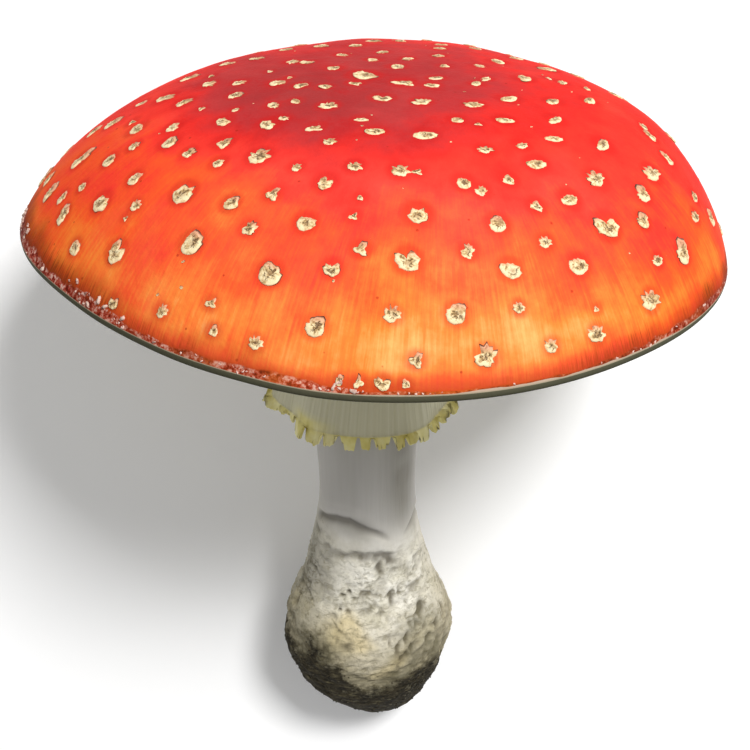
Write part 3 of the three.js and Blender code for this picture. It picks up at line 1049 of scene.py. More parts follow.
def place_warts():
    rng = np.random.default_rng(8)
    count = len(wart_share)
    radius = wart_radius * (UPPER_WART_SIZE + (WART_SIZE - UPPER_WART_SIZE) * fade(wart_share, 0.7, 0.85))
    normals = rule_normal(wart_share, wart_azimuth)
    lift = cap_hills(wart_share, wart_azimuth) * MM - WART_SINK * MM
    seats = to_row(wart_at) + normals * lift[:, None]
    spin = rng.uniform(-0.4, 0.4, count)
    stretch = rng.uniform(0.9, 1.1, count) + 0.25 * front_side(wart_azimuth, 330, 60)
    stretch += 0.15 * fade(wart_share, 0.7, 0.5)
    thick = (0.55 + 0.2 * radius) * (0.6 + 0.4 * wart_share)
    thick[wart_radius < CRUMB_RADIUS] = 0.35
    above, below = (dome_point(wart_share + step, wart_azimuth) for step in (-0.01, 0.01))
    uphill = to_row(above) - to_row(below)
    uphill /= np.linalg.norm(uphill, axis=1, keepdims=True)
    return places_object(
        "wart_places", seats, turn=facing(normals, uphill, spin),
        size=np.column_stack([radius * stretch, radius / stretch, thick]),
        kind=wart_kind * VARIANTS + rng.integers(VARIANTS, size=count),
        high=0.25 + 0.75 * fade(wart_share, 0.85, 0.55), seat=seats, uphill=uphill / (radius * MM)[:, None])


wart_spots = place_warts()
print("places for", len(wart_spots.data.vertices), "warts")

# %% [markdown]
# The node tree stands the pads and then moves their vertices a little by noise, so that
# no two are alike. What lies uphill of a wart's middle is measured on the grown mesh and
# kept for the finish. There the dark seam, a painted shadow, is drawn out a little.

# %% Warts
SHADOW_SEAM_SHIFT = 0.26
WOBBLE = 0.45


def wart_tree():
    tree, given, sockets = new_geometry_tree(
        "stand_warts", Shapes="Collection", Material="Material", Wobble="Float")
    size = add(tree, "GeometryNodeInputNamedAttribute", "size", data_type="FLOAT_VECTOR")
    stood = stand_on_places(tree, given, Scale=size)
    real = add(tree, "GeometryNodeRealizeInstances", stood)
    uneven = add(tree, "TexNoise", Scale=per_mm(1.6), Detail=1.0, out="Color")
    uneven = add(tree, "VectorMath", uneven, (0.5, 0.5, 0.5), operation="SUBTRACT")
    offset = add(tree, "VectorMath", uneven, given["Wobble"], operation="SCALE")
    moved = add(tree, "GeometryNodeSetPosition", Geometry=real, Offset=offset)
    end_tree(tree, moved, given["Material"])
    return tree, sockets


warts = grow("veil_warts", wart_spots, *wart_tree(), Shapes=pads, Material=wart_material(),
             Wobble=WOBBLE * MM)
bpy.data.objects.remove(wart_spots)
at, seat, hill = (fetch(warts, name, 3) for name in ("position", "seat", "uphill"))
store(warts, "upper", ((at - seat) * hill).sum(1))
hill /= np.linalg.norm(hill, axis=1, keepdims=True)
# The dark seam, a painted shadow, is drawn out uphill.
at += fetch(warts, "shadow_seam", 1) * hill * SHADOW_SEAM_SHIFT * MM
warts.data.vertices.foreach_set("co", at.ravel())
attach(warts, "root")
print("warts:", len(warts.data.polygons), "faces")

# %% [markdown]
# Chips of dried skin, shreds of flesh and crumbs of soil are all small uneven bits that
# lie thick in some places and are missing in others. Placing them one by one would be no
# use. A tree scatters a few shapes where a number kept on the mesh is high, gives each
# its own turn, size and tone, and is used for all three.

# %% Scattered bits
def make_chip(name, around, seed, top_height):
    """A small uneven chip 1 mm in radius: a fan over a short wall and a flat foot."""
    rng = np.random.default_rng(seed)
    angle = np.linspace(0, 2 * math.pi, around, endpoint=False)
    radius = 1 + 0.4 * rng.uniform(-1, 1, around)
    ring = np.stack([np.cos(angle) * radius, np.sin(angle) * radius, 0 * angle], -1)
    heights = top_height + 0.2 * rng.uniform(-1, 1, around)
    top = ring * [0.75, 0.75, 0] + np.column_stack([np.zeros((around, 2)), heights])
    points = np.concatenate([ring - [0, 0, 0.3], top, [[0, 0, top_height]]]) * MM
    faces = [(k, (k + 1) % around, around + (k + 1) % around, around + k) for k in range(around)]
    faces += [(around + k, around + (k + 1) % around, 2 * around) for k in range(around)]
    mesh = bpy.data.meshes.new(name)
    mesh.from_pydata(points.tolist(), [], faces + [tuple(range(around - 1, -1, -1))])
    mesh.shade_smooth()
    mesh.polygons[2 * around].use_smooth = False
    return bpy.data.objects.new(name, mesh)


def chips(name, count, around, top_height):
    group = bpy.data.collections.new(name)
    for i in range(count):
        group.objects.link(make_chip(f"{name}_{i}", around, 50 + i, top_height))
    return group


def scatter_tree(name, where, long):
    tree, given, sockets = new_geometry_tree(
        name, Shapes="Collection", Material="Material", Density="Float", Least="Float", Most="Float",
        Seed="Int")
    seed = given["Seed"]
    density = add(tree, "GeometryNodeInputNamedAttribute", where, data_type="FLOAT")
    density = add(tree, "Math", density, given["Density"], operation="MULTIPLY")
    points = add(tree, "GeometryNodeDistributePointsOnFaces", Mesh=given["Geometry"], Density=density,
                 Seed=seed)
    spin = add(tree, "FunctionNodeRandomValue", -3.14, 3.14, Seed=seed, data_type="FLOAT")
    spin = add(tree, "FunctionNodeAxisAngleToRotation", (0, 0, 1), spin)
    turn = add(tree, "FunctionNodeRotateRotation", points.node.outputs["Rotation"], spin,
               rotation_space="LOCAL")
    size = add(tree, "FunctionNodeRandomValue", given["Least"], given["Most"], Seed=seed,
               data_type="FLOAT")
    scale = add(tree, "VectorMath", (1, long, 1), size, operation="SCALE")
    stood = stand(tree, points, given["Shapes"], turn, Scale=scale)
    tone = add(tree, "FunctionNodeRandomValue", 0.0, 1.0, Seed=seed, data_type="FLOAT")
    toned = add(tree, "GeometryNodeStoreNamedAttribute", Geometry=stood, Name="tone", Value=tone,
                data_type="FLOAT", domain="INSTANCE")
    end_tree(tree, toned, given["Material"])
    return tree, sockets


def scatter(name, base, where, long, **values):
    """Bits on a piece where a stored number is high, long times as long as wide."""
    return grow(name, base, *scatter_tree(f"scatter_{name}", where, long), **values)


def bit_material(name, stops, **settings):
    """A dry material whose colour runs with each bit's own tone."""
    material, tree, shader = new_material(name)
    tone = add(tree, "Attribute", attribute_name="tone", out="Fac")
    fill(tree, shader, Base_Color=add(tree, "ValToRGB", tone, stops=stops), **settings)
    return material


print("scatter tree ready")

# %% [markdown]
# Right at the rim the skin has cracked into scales, that stand out as tiny dark and pink
# chips. They could be a bump in the material, but at the very outline a bump shows flat.

# %% Rim flakes
flake_material = bit_material("Rim flake, dried skin and flesh", [
    (0.2, "#5E1D16"), (0.4, "#A84A38"), (0.55, "#D89E8E"), (0.8, "#E4C2B4")], Roughness=0.7)
flakes = scatter("rim_flakes", cap, "scaly", 0.55, Shapes=chips("flake_shapes", 5, 7, 0.35),
                 Material=flake_material, Density=1.4e6, Least=0.1, Most=0.36, Seed=3)
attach(flakes, "root")
print("rim flakes:", len(flakes.data.polygons), "faces")

# %% [markdown]
# Where the rim is torn, larger pale shreds of flesh stand out among the chips. They are
# the same bits, longer and fewer, with brown spots where they have dried.

# %% Rim shreds
def shred_material():
    material, tree, shader = new_material("Torn shred, dry flesh")
    place = add(tree, "TexCoord", out="Object")
    tone = add(tree, "Attribute", attribute_name="tone", out="Fac")
    spots = add(tree, "TexNoise", place, Scale=per_mm(0.7), Detail=2.0)
    spots = add(tree, "Math", tone, 0.3, spots, operation="MULTIPLY_ADD")
    base = add(tree, "ValToRGB", spots, stops=[(0.45, "#7A4034"), (0.6, "#B48E80"), (0.72, "#DCC0B0")])
    fill(tree, shader, Base_Color=base, Roughness=0.75)
    return material


shreds = scatter("rim_shreds", cap, "torn", 0.55, Shapes=chips("shred_shapes", 6, 11, 0.5),
                 Material=shred_material(), Density=6e5, Least=0.3, Most=0.75, Seed=9)
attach(shreds, "root")
print("rim shreds:", len(shreds.data.polygons), "faces")

# %% [markdown]
# Under the cap hang some five hundred thin cream plates. The long ones run from the stem
# to the rim, and shorter ones start between them further out. A plate is first made in
# flat space, thick at its root, where plates grow into each other, and thin at its edge.

# %% A gill plate
GILL_OUTER = 0.972
PLATE_STARTS = [0.23, 0.34, 0.4, 0.46, 0.6, 0.67, 0.74]
PLATE_STEPS = 15
# A plate's thickness in mm at shares of its depth.
PLATE_THICKNESS = [(0, 1.7), (0.65, 1.15), (1, 0.32)]


def make_plate(name, start):
    """A plate in flat space: x is a share, y sideways in mm, z from the root 0 to the edge 1."""
    share = np.linspace(start, GILL_OUTER, PLATE_STEPS)
    near_start = fade(share, start, start + 0.05)
    levels, thickness = np.array(PLATE_THICKNESS + PLATE_THICKNESS[::-1], float).T
    around = len(levels)
    sides = 0.5 * thickness * np.where(np.arange(around) < around // 2, -1, 1)
    depth = near_start[:, None] * levels
    shares, sideways = np.meshgrid(share, sides, indexing="ij")
    points = np.stack([shares, sideways, depth], -1)
    last = around * (PLATE_STEPS - 1)
    faces = [(i + k, i + (k + 1) % around, i + around + (k + 1) % around, i + around + k)
             for i in range(0, last, around) for k in range(around)]
    faces += [tuple(range(around - 1, -1, -1)), tuple(range(last, last + around))]
    mesh = bpy.data.meshes.new(name)
    mesh.from_pydata(points.reshape(-1, 3), [], faces)
    mesh.shade_smooth()
    return bpy.data.objects.new(name, mesh)


plates = bpy.data.collections.new("gill_plates")
for i, start in enumerate(PLATE_STARTS):
    plates.objects.link(make_plate(f"plate_{i}", start))

# %% [markdown]
# Gills are cream and waxy. Their faces are darker than their edges, because little light
# reaches in between them. Light alone would do that in time, but a number for the depth
# is cheaper and never noisy.

# %% Gill finish
def gill_material():
    material, tree, shader = new_material("Gill flesh, thin waxy plates")
    place = add(tree, "TexCoord", out="Object")
    depth = add(tree, "Attribute", attribute_name="depth", out="Fac")
    blotches = add(tree, "TexNoise", place, Scale=per_mm(7), Detail=3.0)
    base = add(tree, "ValToRGB", blotches, stops=[(0.35, "#E9DFC2"), (0.65, "#F4EDD6")])
    deep = add(tree, "MapRange", depth, 0.99, 0.88, 0.0, 0.45)
    base = add(tree, "Mix", deep, base, "#B9A67E", data_type="RGBA")
    fine = add(tree, "TexNoise", place, Scale=per_mm(0.7), Detail=2.0)
    bump = add(tree, "Bump", Strength=0.2, Distance=0.2 * MM, Height=fine)
    fill(tree, shader, Base_Color=base, Normal=bump, Roughness=0.6)
    return material


print("gill finish ready")

# %% [markdown]
# Geometry Nodes stands the plates round the axis, a long one after every three shorter
# ones. Each is then bent, by moving its vertices, into the room between the flesh and
# the line of the gills' edges, with a slight wave of its own.

# %% Gills
GILL_GROUPS = 132
GILL_ARCH = 12
GILL_EDGE_AT_RIM = -1.2
GILL_LEAST = 0.9
GILL_ROOT_DEPTH = 0.4


def gill_tree():
    tree, given, sockets = new_geometry_tree("stand_gills", Shapes="Collection", Material="Material")
    end_tree(tree, stand_on_places(tree, given), given["Material"])
    return tree, sockets


def stand_gills():
    """The plates, still flat, and the azimuth of each."""
    rng = np.random.default_rng(4)
    order = np.tile([0, 4, 1, 4], GILL_GROUPS)
    order[1::2] += rng.integers(3, size=2 * GILL_GROUPS)
    order[2::4] += rng.integers(3, size=GILL_GROUPS)
    azimuth = (np.arange(len(order)) + rng.uniform(-0.1, 0.1, len(order))) * 2 * math.pi / len(order)
    turn = np.stack([0 * azimuth, 0 * azimuth, azimuth], -1)
    places = places_object("gill_places", np.zeros((len(order), 3)), turn=turn, kind=order)
    gills = grow("gill_plates_all", places, *gill_tree(), Shapes=plates, Material=gill_material())
    bpy.data.objects.remove(places)
    return gills, azimuth


def bend_gills(gills, azimuth):
    flat = fetch(gills, "position", 3)
    plate = np.arange(len(flat)) // (2 * len(PLATE_THICKNESS) * PLATE_STEPS)
    turned = azimuth[plate]
    share = flat[:, 0] * np.cos(turned) + flat[:, 1] * np.sin(turned)
    sideways = flat[:, 1] * np.cos(turned) - flat[:, 0] * np.sin(turned)
    wave_at = np.stack([share * 6, plate * 7.3, 0 * share], -1)
    bend = 0.16 * bumps(wave_at, 1, 41) * fade(share, PLATE_STARTS[0], 0.5)
    spun = turned + (sideways + bend) / (CAP_RADIUS * share)
    root = flesh_height(share) + GILL_ROOT_DEPTH
    edge = np.minimum(GILL_EDGE_AT_RIM + GILL_ARCH * (1 - share ** 2), flesh_height(share) - GILL_LEAST)
    edge = edge + 0.35 * bumps(wave_at + 50, 0.6, 43)
    height = root + (edge - root) * flat[:, 2]
    points = to_row(to_upright(on_cap(share, spun, height, np.zeros_like(share))))
    points[:, 2] = np.maximum(points[:, 2], 0)
    gills.data.vertices.foreach_set("co", points.ravel())
    store(gills, "depth", flat[:, 2])
    gills.data.update()


gills, gill_azimuth = stand_gills()
bend_gills(gills, gill_azimuth)
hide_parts("gills")
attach(gills, "root")
print("gills:", len(gill_azimuth), "plates and", len(gills.data.polygons), "faces")

# %% [markdown]
# The stem is solid flesh, smooth and finely fibrous above, and swollen into a rough bulb
# below. Its line is the CAD stem's: a smooth curve through a few radii and heights, swept
# round the axis. The rings lie closer on the bulb, where the detail is.

# %% The stem's line
STEM_OUTLINE = [
    (7.6, 1.4), (14.1, 8), (18, 15), (20.6, 25), (19.3, 33), (16.2, 40),
    (13.9, 48), (12.4, 56), (11.7, 66), (11.6, 86), (12, 114), (13.5, 150.4)]
STEM_ROUND = 320


def smooth_line(points, count):
    """Evenly parted points on the smooth curve that the CAD stem and ring follow."""
    p = np.array(points, float)
    t = np.linspace(0, len(p) - 1, count)
    i = np.minimum(t.astype(int), len(p) - 2)
    w = (t - i)[:, None]
    before, here, there, after = p[np.maximum(i - 1, 0)], p[i], p[i + 1], p[np.minimum(i + 2, len(p) - 1)]
    a, b = (there - before) / 2, (after - here) / 2
    return here + a * w + (3 * (there - here) - 2 * a - b) * w ** 2 + (2 * (here - there) + a + b) * w ** 3


def stem_grid():
    """Radius, height and azimuth of every point, from the bulb's tip up."""
    line = smooth_line(STEM_OUTLINE, 600)
    length = np.concatenate([[0], np.cumsum(np.hypot(*np.diff(line, axis=0).T))])
    fine = np.interp(np.linspace(0, 66, 165), line[:, 1], length)
    coarse = np.linspace(np.interp(66.8, line[:, 1], length), length[-1], 88)
    steps = np.concatenate([fine, coarse])
    # A quarter of an ellipse closes the tip, and a flat end lies inside the cap.
    tip_radius, tip_height = STEM_OUTLINE[0]
    quarter = np.linspace(0, 1, 16, endpoint=False) * math.pi / 2
    radius = np.concatenate([tip_radius * np.sin(quarter), np.interp(steps, length, line[:, 0]), [0]])
    height = np.concatenate([tip_height * (1 - np.cos(quarter)), np.interp(steps, length, line[:, 1]),
                             [line[-1, 1]]])
    azimuth = np.linspace(0, 2 * math.pi, STEM_ROUND, endpoint=False)
    radius, height = (np.repeat(values[:, None], STEM_ROUND, 1) for values in (radius, height))
    return radius, height, np.repeat(azimuth[None], len(radius), 0)


stem_radius, stem_height, stem_azimuth = stem_grid()
print("stem of", len(stem_radius), "rings, up to", stem_radius.max().round(1), "mm in radius")

# %% [markdown]
# Creases, pits and the border of the soil each have a place of their own on the bulb. So
# they are listed by azimuth and height, and only their fine shape is left to noise.

# %% Creases, pits and soil
# Creases run round the stem: points of azimuth in degrees and height, then depth and width.
CREASES = [
    ([(180, 58), (212, 59.2), (232, 60.6), (250, 61), (268, 59.5), (285, 57.4), (302, 56)], 0.9, 1.1),
    ([(165, 57), (185, 55.5), (218, 54.5)], 0.5, 0.8),
    ([(308, 56), (328, 57.5), (352, 58.5), (20, 57.5)], 0.6, 0.8),
    ([(222, 51.5), (252, 52.4), (268, 51.7), (285, 51.9), (312, 50)], 0.7, 1.1),
    ([(205, 51.5), (224, 52.3), (236, 51)], 0.7, 0.8),
    ([(248, 49), (258, 48.3), (268, 47.6)], 1.1, 0.8),
    ([(276, 50), (284, 49), (292, 48.8)], 0.9, 0.8),
    ([(20, 62), (50, 60.5), (85, 61)], 0.9, 0.9),
    ([(60, 53.5), (95, 52.5), (130, 54)], 1.1, 1.0),
    ([(120, 60), (150, 62), (170, 61)], 0.8, 0.8),
]
# Pits: azimuth in degrees, height, radius and depth.
PITS = [
    (283, 48.5, 1.3, 0.8), (291, 41.5, 1.3, 0.8), (300, 42.5, 1.2, 0.6), (318, 36.5, 1.5, 1.3),
    (311, 34, 1.0, 0.8), (286, 31.5, 1.1, 0.8), (292, 29.5, 1.1, 0.9), (300, 31.5, 1.2, 0.9),
    (297, 27.8, 1.1, 0.8), (304, 28.5, 0.9, 0.7), (329, 31.5, 1.2, 1.0), (318, 29, 1.3, 0.8),
    (305, 34.5, 1.0, 0.6), (340, 33.5, 1.2, 0.7), (20, 35, 1.5, 1.0), (48, 30, 1.3, 0.9),
    (62, 38, 1.2, 0.8), (130, 33, 1.5, 1.0), (155, 37, 1.2, 0.8), (172, 31, 1.3, 0.8)]
# How high the soil reaches: azimuth in degrees and height.
SOIL_LINE = [
    (0, 21), (40, 17), (90, 22), (140, 25), (190, 28), (225, 27.6), (245, 27), (257, 23.5),
    (268, 17.5), (280, 18), (292, 18.5), (305, 22.5), (318, 24.5), (332, 20)]


def crease_depth(azimuth, height, line, depth, width):
    """A groove along a line, with the flesh above it a little swollen."""
    degrees = np.array([a for a, _ in line], float)
    degrees = degrees[0] + (degrees - degrees[0]) % 360
    at = degrees[0] + (np.degrees(azimuth) - degrees[0]) % 360
    along = np.interp(at, degrees, [h for _, h in line])
    ends = fade(at, degrees[0], degrees[0] + 22) * fade(at, degrees[-1], degrees[-1] - 22)
    away = height - along
    groove = -depth * np.exp(-(away / width) ** 2)
    swelling = 0.3 * depth * np.exp(-((away - 2.2 * width) / (1.6 * width)) ** 2)
    return (groove + swelling) * ends


def pit_depth(azimuth, height, radius_there, pit):
    degrees, h, radius, depth = pit
    sideways = (np.degrees(azimuth) - degrees + 180) % 360 - 180
    away = np.hypot(np.radians(sideways) * radius_there * 1.5, 0.75 * (height - h)) / radius
    return -depth * np.exp(-away ** 2.4)


def soil_stain_and_shade(place, azimuth, height):
    """Where soil covers the bulb, and where it has stained the flesh above it, with dirt and painted shade
    on the bulb's left side.
    """
    edge = around_stem(azimuth, SOIL_LINE)
    edge = edge + 2.6 * layered(place, 9, 61, 4) + 1.6 * layered(place, 2.2, 56, 2)
    # The first term is soil stain; the second is dirt and painted shade on the left of the bulb.
    stain_and_shade = fade(height, edge + 11, edge) + 0.8 * front_side(azimuth, 197, 34) * fade(height, 64, 50)
    stain_and_shade += front_side(azimuth, 314, 32) * fade(np.abs(height - 31), 9, 2)
    return fade(height, edge + 5.5, edge - 4), np.clip(stain_and_shade, 0, 1)


print(len(CREASES), "creases and", len(PITS), "pits")

# %% [markdown]
# Between those marks the bulb is lumpy, with slanted furrows, while the stem above has
# only faint twisted ridges. A bump in the material could feign that, but a low lamp and
# the bulb's outline show the difference, so it is real depth on a fine mesh.

# %% Relief of the stem
def ridges(points, size, seed):
    """Wrinkles: -1 in narrow furrows, up to 0.6 on the folds between them."""
    return np.minimum(np.abs(layered(points, size, seed, 2)) * 4 - 1, 0.6)


def bulb_relief(place, warped, azimuth, height, rough, soil):
    """Lumps, furrows and small cracks on the bulb, and ridges on the smooth stem."""
    lumps = 0.6 * layered(warped * [1, 1, 1.5], 6, 64, 2) + 0.36 * layered(warped * [1, 1, 2.2], 2.4, 67, 3)
    slanted = warped @ [[1, 0, 0], [0, 1, -0.9], [0, 0, 2.4]]
    furrows = np.minimum(ridges(slanted, 6, 65), 0) + 0.5 * np.minimum(ridges(slanted, 3, 76), 0)
    patch = np.clip(0.8 + 0.9 * bumps(place, 10, 69), 0.2, 1.4)
    depth = rough * (1 - 0.4 * soil) * (lumps + 0.35 * furrows) * patch
    spiral = place @ [[1, 0, 0.25], [0, 1, 0.25], [0, 0, 0.16]]
    depth += (0.2 * bumps(spiral, 6, 63) + 0.015 * bumps(spiral, 1.6, 59)) * (1 - rough)
    cluster = front_side(azimuth, 250, 20) * fade(np.abs(height - 41), 6, 2)
    cracked = fade(bumps(warped * [1, 1, 2.2], 1.7, 68), 0.15, 0.5)
    depth -= (0.8 * cluster + 0.4 * rough * fade(bumps(place, 8, 58), 0.1, 0.5)) * cracked * (1 - soil)
    return depth


def add_marks(depth, place, azimuth, height, radius):
    """Adds the creases and the pits, shaken by noise."""
    shaken = height + 0.8 * bumps(place, 5, 71) + 0.6 * fade(height, 57, 53) * layered(place, 2.4, 70, 2)
    for crease, deep, wide in CREASES:
        depth += crease_depth(azimuth, shaken, crease, deep, wide)
    aside = azimuth + 0.05 * bumps(place, 1.8, 57)
    above = height + 0.9 * bumps(place, 2, 72)
    for pit in PITS:
        depth += pit_depth(aside, above, radius, pit)


print("relief of the stem ready")

# %% [markdown]
# What the finish has to know of a place is kept on the mesh: how rough, creamy, tanned,
# yellow, stained or hollow the flesh is there, where shade is painted on it, and how thick
# the soil lies.

# %% Marks of the stem's finish
def mark_stem(stem, place, azimuth, height, rough, soil):
    creamy = fade(height, 66, 47) + 0.2 * bumps(place, 9, 74) * fade(height, 72, 60)
    store(stem, "creamy", np.clip(creamy, 0, 1))
    # Crumbs lie where the soil is thick, but not on the side that lies on the table.
    lying = np.sin(azimuth) * (height * math.sin(LEAN) + TIP_CLEARANCE > 0) > 0.4
    store(stem, "earthy", fade(soil, 0.25, 0.8) * (1 - lying))
    # Painted shade: on the right of the upper stem, in a band on the left of the bulb's neck, and along the
    # first crease below the ring.
    painted_shade = front_side(azimuth, 318, 42) * fade(height, 53, 66)
    painted_shade += 0.9 * front_side(azimuth, 226, 27) * fade(np.abs(height - 47), 9, 3)
    painted_shade += 0.45 * front_side(azimuth, 258, 28) * fade(np.abs(height - 59.5), 4, 1)
    store(stem, "painted_shade", np.clip(painted_shade + 0.25 * painted_shade * bumps(place, 4, 78), 0, 1))
    store(stem, "tan", np.clip(fade(height, 46, 22) + 0.4 * front_side(azimuth, 350, 40), 0, 1) * rough)
    yellow = front_side(azimuth, 250, 28) * fade(np.abs(height - 33), 7, 1)
    patches = fade(layered(place, 9, 77, 2), 0.15, 0.7) * fade(height, 48, 38)
    patches *= (1 - 0.75 * front_side(azimuth, 212, 34)) * (1 - 0.8 * front_side(azimuth, 318, 30))
    yellow += 0.7 * patches
    store(stem, "yellow", np.clip(yellow, 0, 1))


print("marks ready")

# %% [markdown]
# The mesh is the line, made slightly three-cornered at the bulb, with the relief added
# to its radius. The table presses it, and its tip is bent a little aside.

# %% The stem's mesh
TIP_SHIFT = 3
TIP_BLEND = 20
BULB_WAVES = [(3, 0.02, 0.6)]
BULB_MIDDLE = 24
BULB_SPREAD = 16


def make_stem(radius, height, azimuth):
    bulb = np.exp(-((height - BULB_MIDDLE) / BULB_SPREAD) ** 2)
    uneven = radius * (1 + bulb * waves(BULB_WAVES, azimuth))
    place = np.stack([np.cos(azimuth) * uneven, np.sin(azimuth) * uneven, height], -1)
    warped = place + 1.5 * np.stack([bumps(place, 7, 90 + k) for k in range(3)], -1)
    rough = np.clip(fade(height, 59, 45) + 0.15 * bumps(place, 5, 66) * fade(height, 64, 54), 0, 1)
    soil, stain_and_shade = soil_stain_and_shade(place, azimuth, height)
    depth = bulb_relief(place, warped, azimuth, height, rough, soil)
    add_marks(depth, place, azimuth, height, radius)
    hollow = np.clip(-depth, 0, 2)
    swell = 0.5 * bumps(place, 16, 62) + 0.4 * rough * bumps(place, 9, 60)
    clods = 0.2 + 0.3 * fade(layered(place, 4, 73, 2), -0.2, 0.6) + 0.15 * layered(place, 1.8, 75, 2)
    depth = (depth + swell + soil * clods) * fade(radius, 0, 5) * fade(height, 150, 140)

    pressed = np.maximum(soft_least(uneven + depth, reach_to_table(azimuth, height), PRESS_BLEND / 2), 0)
    shift = TIP_SHIFT * np.clip(1 - height / TIP_BLEND, 0, None) ** 2
    points = np.stack([pressed * np.cos(azimuth) + shift, pressed * np.sin(azimuth), height], -1)
    stem = from_rings("stem_and_bulb", points)
    for name, values in [("soil", soil), ("rough", rough), ("stain_and_shade", stain_and_shade), ("hollow", hollow),
                         ("pile", place)]:
        store(stem, name, values)
    mark_stem(stem, place, azimuth, height, rough, soil)
    weld(stem.data)
    return stem


stem = make_stem(stem_radius, stem_height, stem_azimuth)
print("stem:", len(stem.data.polygons), "faces")

# %% [markdown]
# Clean stem flesh is off-white, partly painted light grey as shade under the cap, and
# combed with fibres. The bulb is creamy, with tanned and ochre patches. Hollows are darker,
# with olive-brown dirt and painted shade on the bulb and grey painted shade in the smooth
# stem's creases. Dirt also lies in a fine grain between the fibres and in smears beside
# the soil, and dirt and painted shade lie on the left of the bulb. Painted shade lies on
# the right of the upper stem, on the left of the bulb's neck and along a crease. Each is
# one layer over the last.

# %% Flesh of the stem
def stem_flesh(tree, fibres, blotches):
    creamy, tan, yellow, painted_shade = (
        add(tree, "Attribute", attribute_name=name, out="Fac")
        for name in ("creamy", "tan", "yellow", "painted_shade"))
    # The smooth upper stem's light grey is partly its flesh and partly painted shade from the cap above it.
    upper = add(tree, "ValToRGB", fibres, stops=[(0.2, "#C2BFB9"), (0.8, "#C9C6C1")])
    lower = add(tree, "ValToRGB", blotches, stops=[(0.3, "#C4BFA9"), (0.46, "#E8E3D2"), (0.62, "#FAF6EA")])
    base = add(tree, "Mix", creamy, upper, lower, data_type="RGBA")
    # Tanned and yellow patches, then the painted shade kept on the mesh.
    for mark, most, shade in [(tan, 0.8, "#B0A484"), (yellow, 0.6, "#D2BD82"), (painted_shade, 0.75, "#8A867A")]:
        amount = add(tree, "Math", mark, most, operation="MULTIPLY")
        base = add(tree, "Mix", amount, base, shade, data_type="RGBA")
    return base


def dirt_and_shade_layers(tree, base, place, grain, blotches):
    rough, hollow, stain_and_shade = (
        add(tree, "Attribute", attribute_name=name, out="Fac") for name in ("rough", "hollow", "stain_and_shade"))
    # Hollows darken: olive-brown dirt and painted shade on the bulb, grey painted shade in the creases of
    # the smooth stem.
    dirt_and_shade = add(tree, "MapRange", hollow, 0.05, 0.85, 0.0, 0.88)
    grime_and_shade = add(tree, "Mix", rough, "#7E7A72", "#564E3C", data_type="RGBA")
    base = add(tree, "Mix", dirt_and_shade, base, grime_and_shade, data_type="RGBA")
    specks = add(tree, "MapRange", grain, 0.5, 0.68, 0.0, 0.35)
    specks = add(tree, "Math", specks, rough, operation="MULTIPLY")
    base = add(tree, "Mix", specks, base, "#857E66", data_type="RGBA")
    lines = add(tree, "VectorMath", place, (1, 1, 1.9), operation="MULTIPLY")
    lines = add(tree, "TexNoise", lines, Scale=1 / 2.0, Detail=4.0, Distortion=1.2)
    lines = add(tree, "MapRange", lines, 0.52, 0.66, 0.0, 0.5)
    lines = add(tree, "Math", lines, rough, operation="MULTIPLY")
    base = add(tree, "Mix", lines, base, "#7C745A", data_type="RGBA")
    # Smears of dirt beside the soil, and dirt and painted shade on the left of the bulb.
    smear_and_shade = add(tree, "MapRange", blotches, 0.38, 0.58, 0.25, 0.8)
    smear_and_shade = add(tree, "Math", smear_and_shade, stain_and_shade, operation="MULTIPLY")
    return add(tree, "Mix", smear_and_shade, base, "#6B664F", data_type="RGBA")


print("flesh of the stem ready")

# %% [markdown]
# Where the bulb stood in the ground, soil still clings to it, nearly black, with paler
# fibres in it. It ends in crumbs, not in a line, because two noises push its border
# about. Where it is a thin film on the flesh it is a paler brown.

# %% Soil, and the stem's finish
EARTH_COLOURS = [(0.36, "#16140E"), (0.48, "#262219"), (0.6, "#433D2E"), (0.74, "#6E6850")]


def soiled(tree, base, place, grain):
    soil, stain_and_shade = (add(tree, "Attribute", attribute_name=name, out="Fac") for name in ("soil", "stain_and_shade"))
    combed = add(tree, "VectorMath", place, (1, 1, 2.6), operation="MULTIPLY")
    combed = add(tree, "TexNoise", combed, Scale=1 / 3.2, Detail=4.0, Roughness=0.65)
    earth = add(tree, "ValToRGB", combed, stops=EARTH_COLOURS)
    thick = add(tree, "MapRange", soil, 0.3, 0.9)
    earth = add(tree, "Mix", thick, "#6A634D", earth, data_type="RGBA")
    crumbly = add(tree, "Math", grain, combed, operation="ADD")
    crumbly = add(tree, "Math", crumbly, 1.7, -1.7, operation="MULTIPLY_ADD")
    crumbly = add(tree, "Math", crumbly, soil, operation="ADD")
    covered = add(tree, "MapRange", crumbly, 0.15, 0.85)
    near_soil = add(tree, "MapRange", stain_and_shade, 0.0, 0.3)
    covered = add(tree, "Math", covered, near_soil, operation="MULTIPLY")
    return add(tree, "Mix", covered, base, earth, data_type="RGBA")


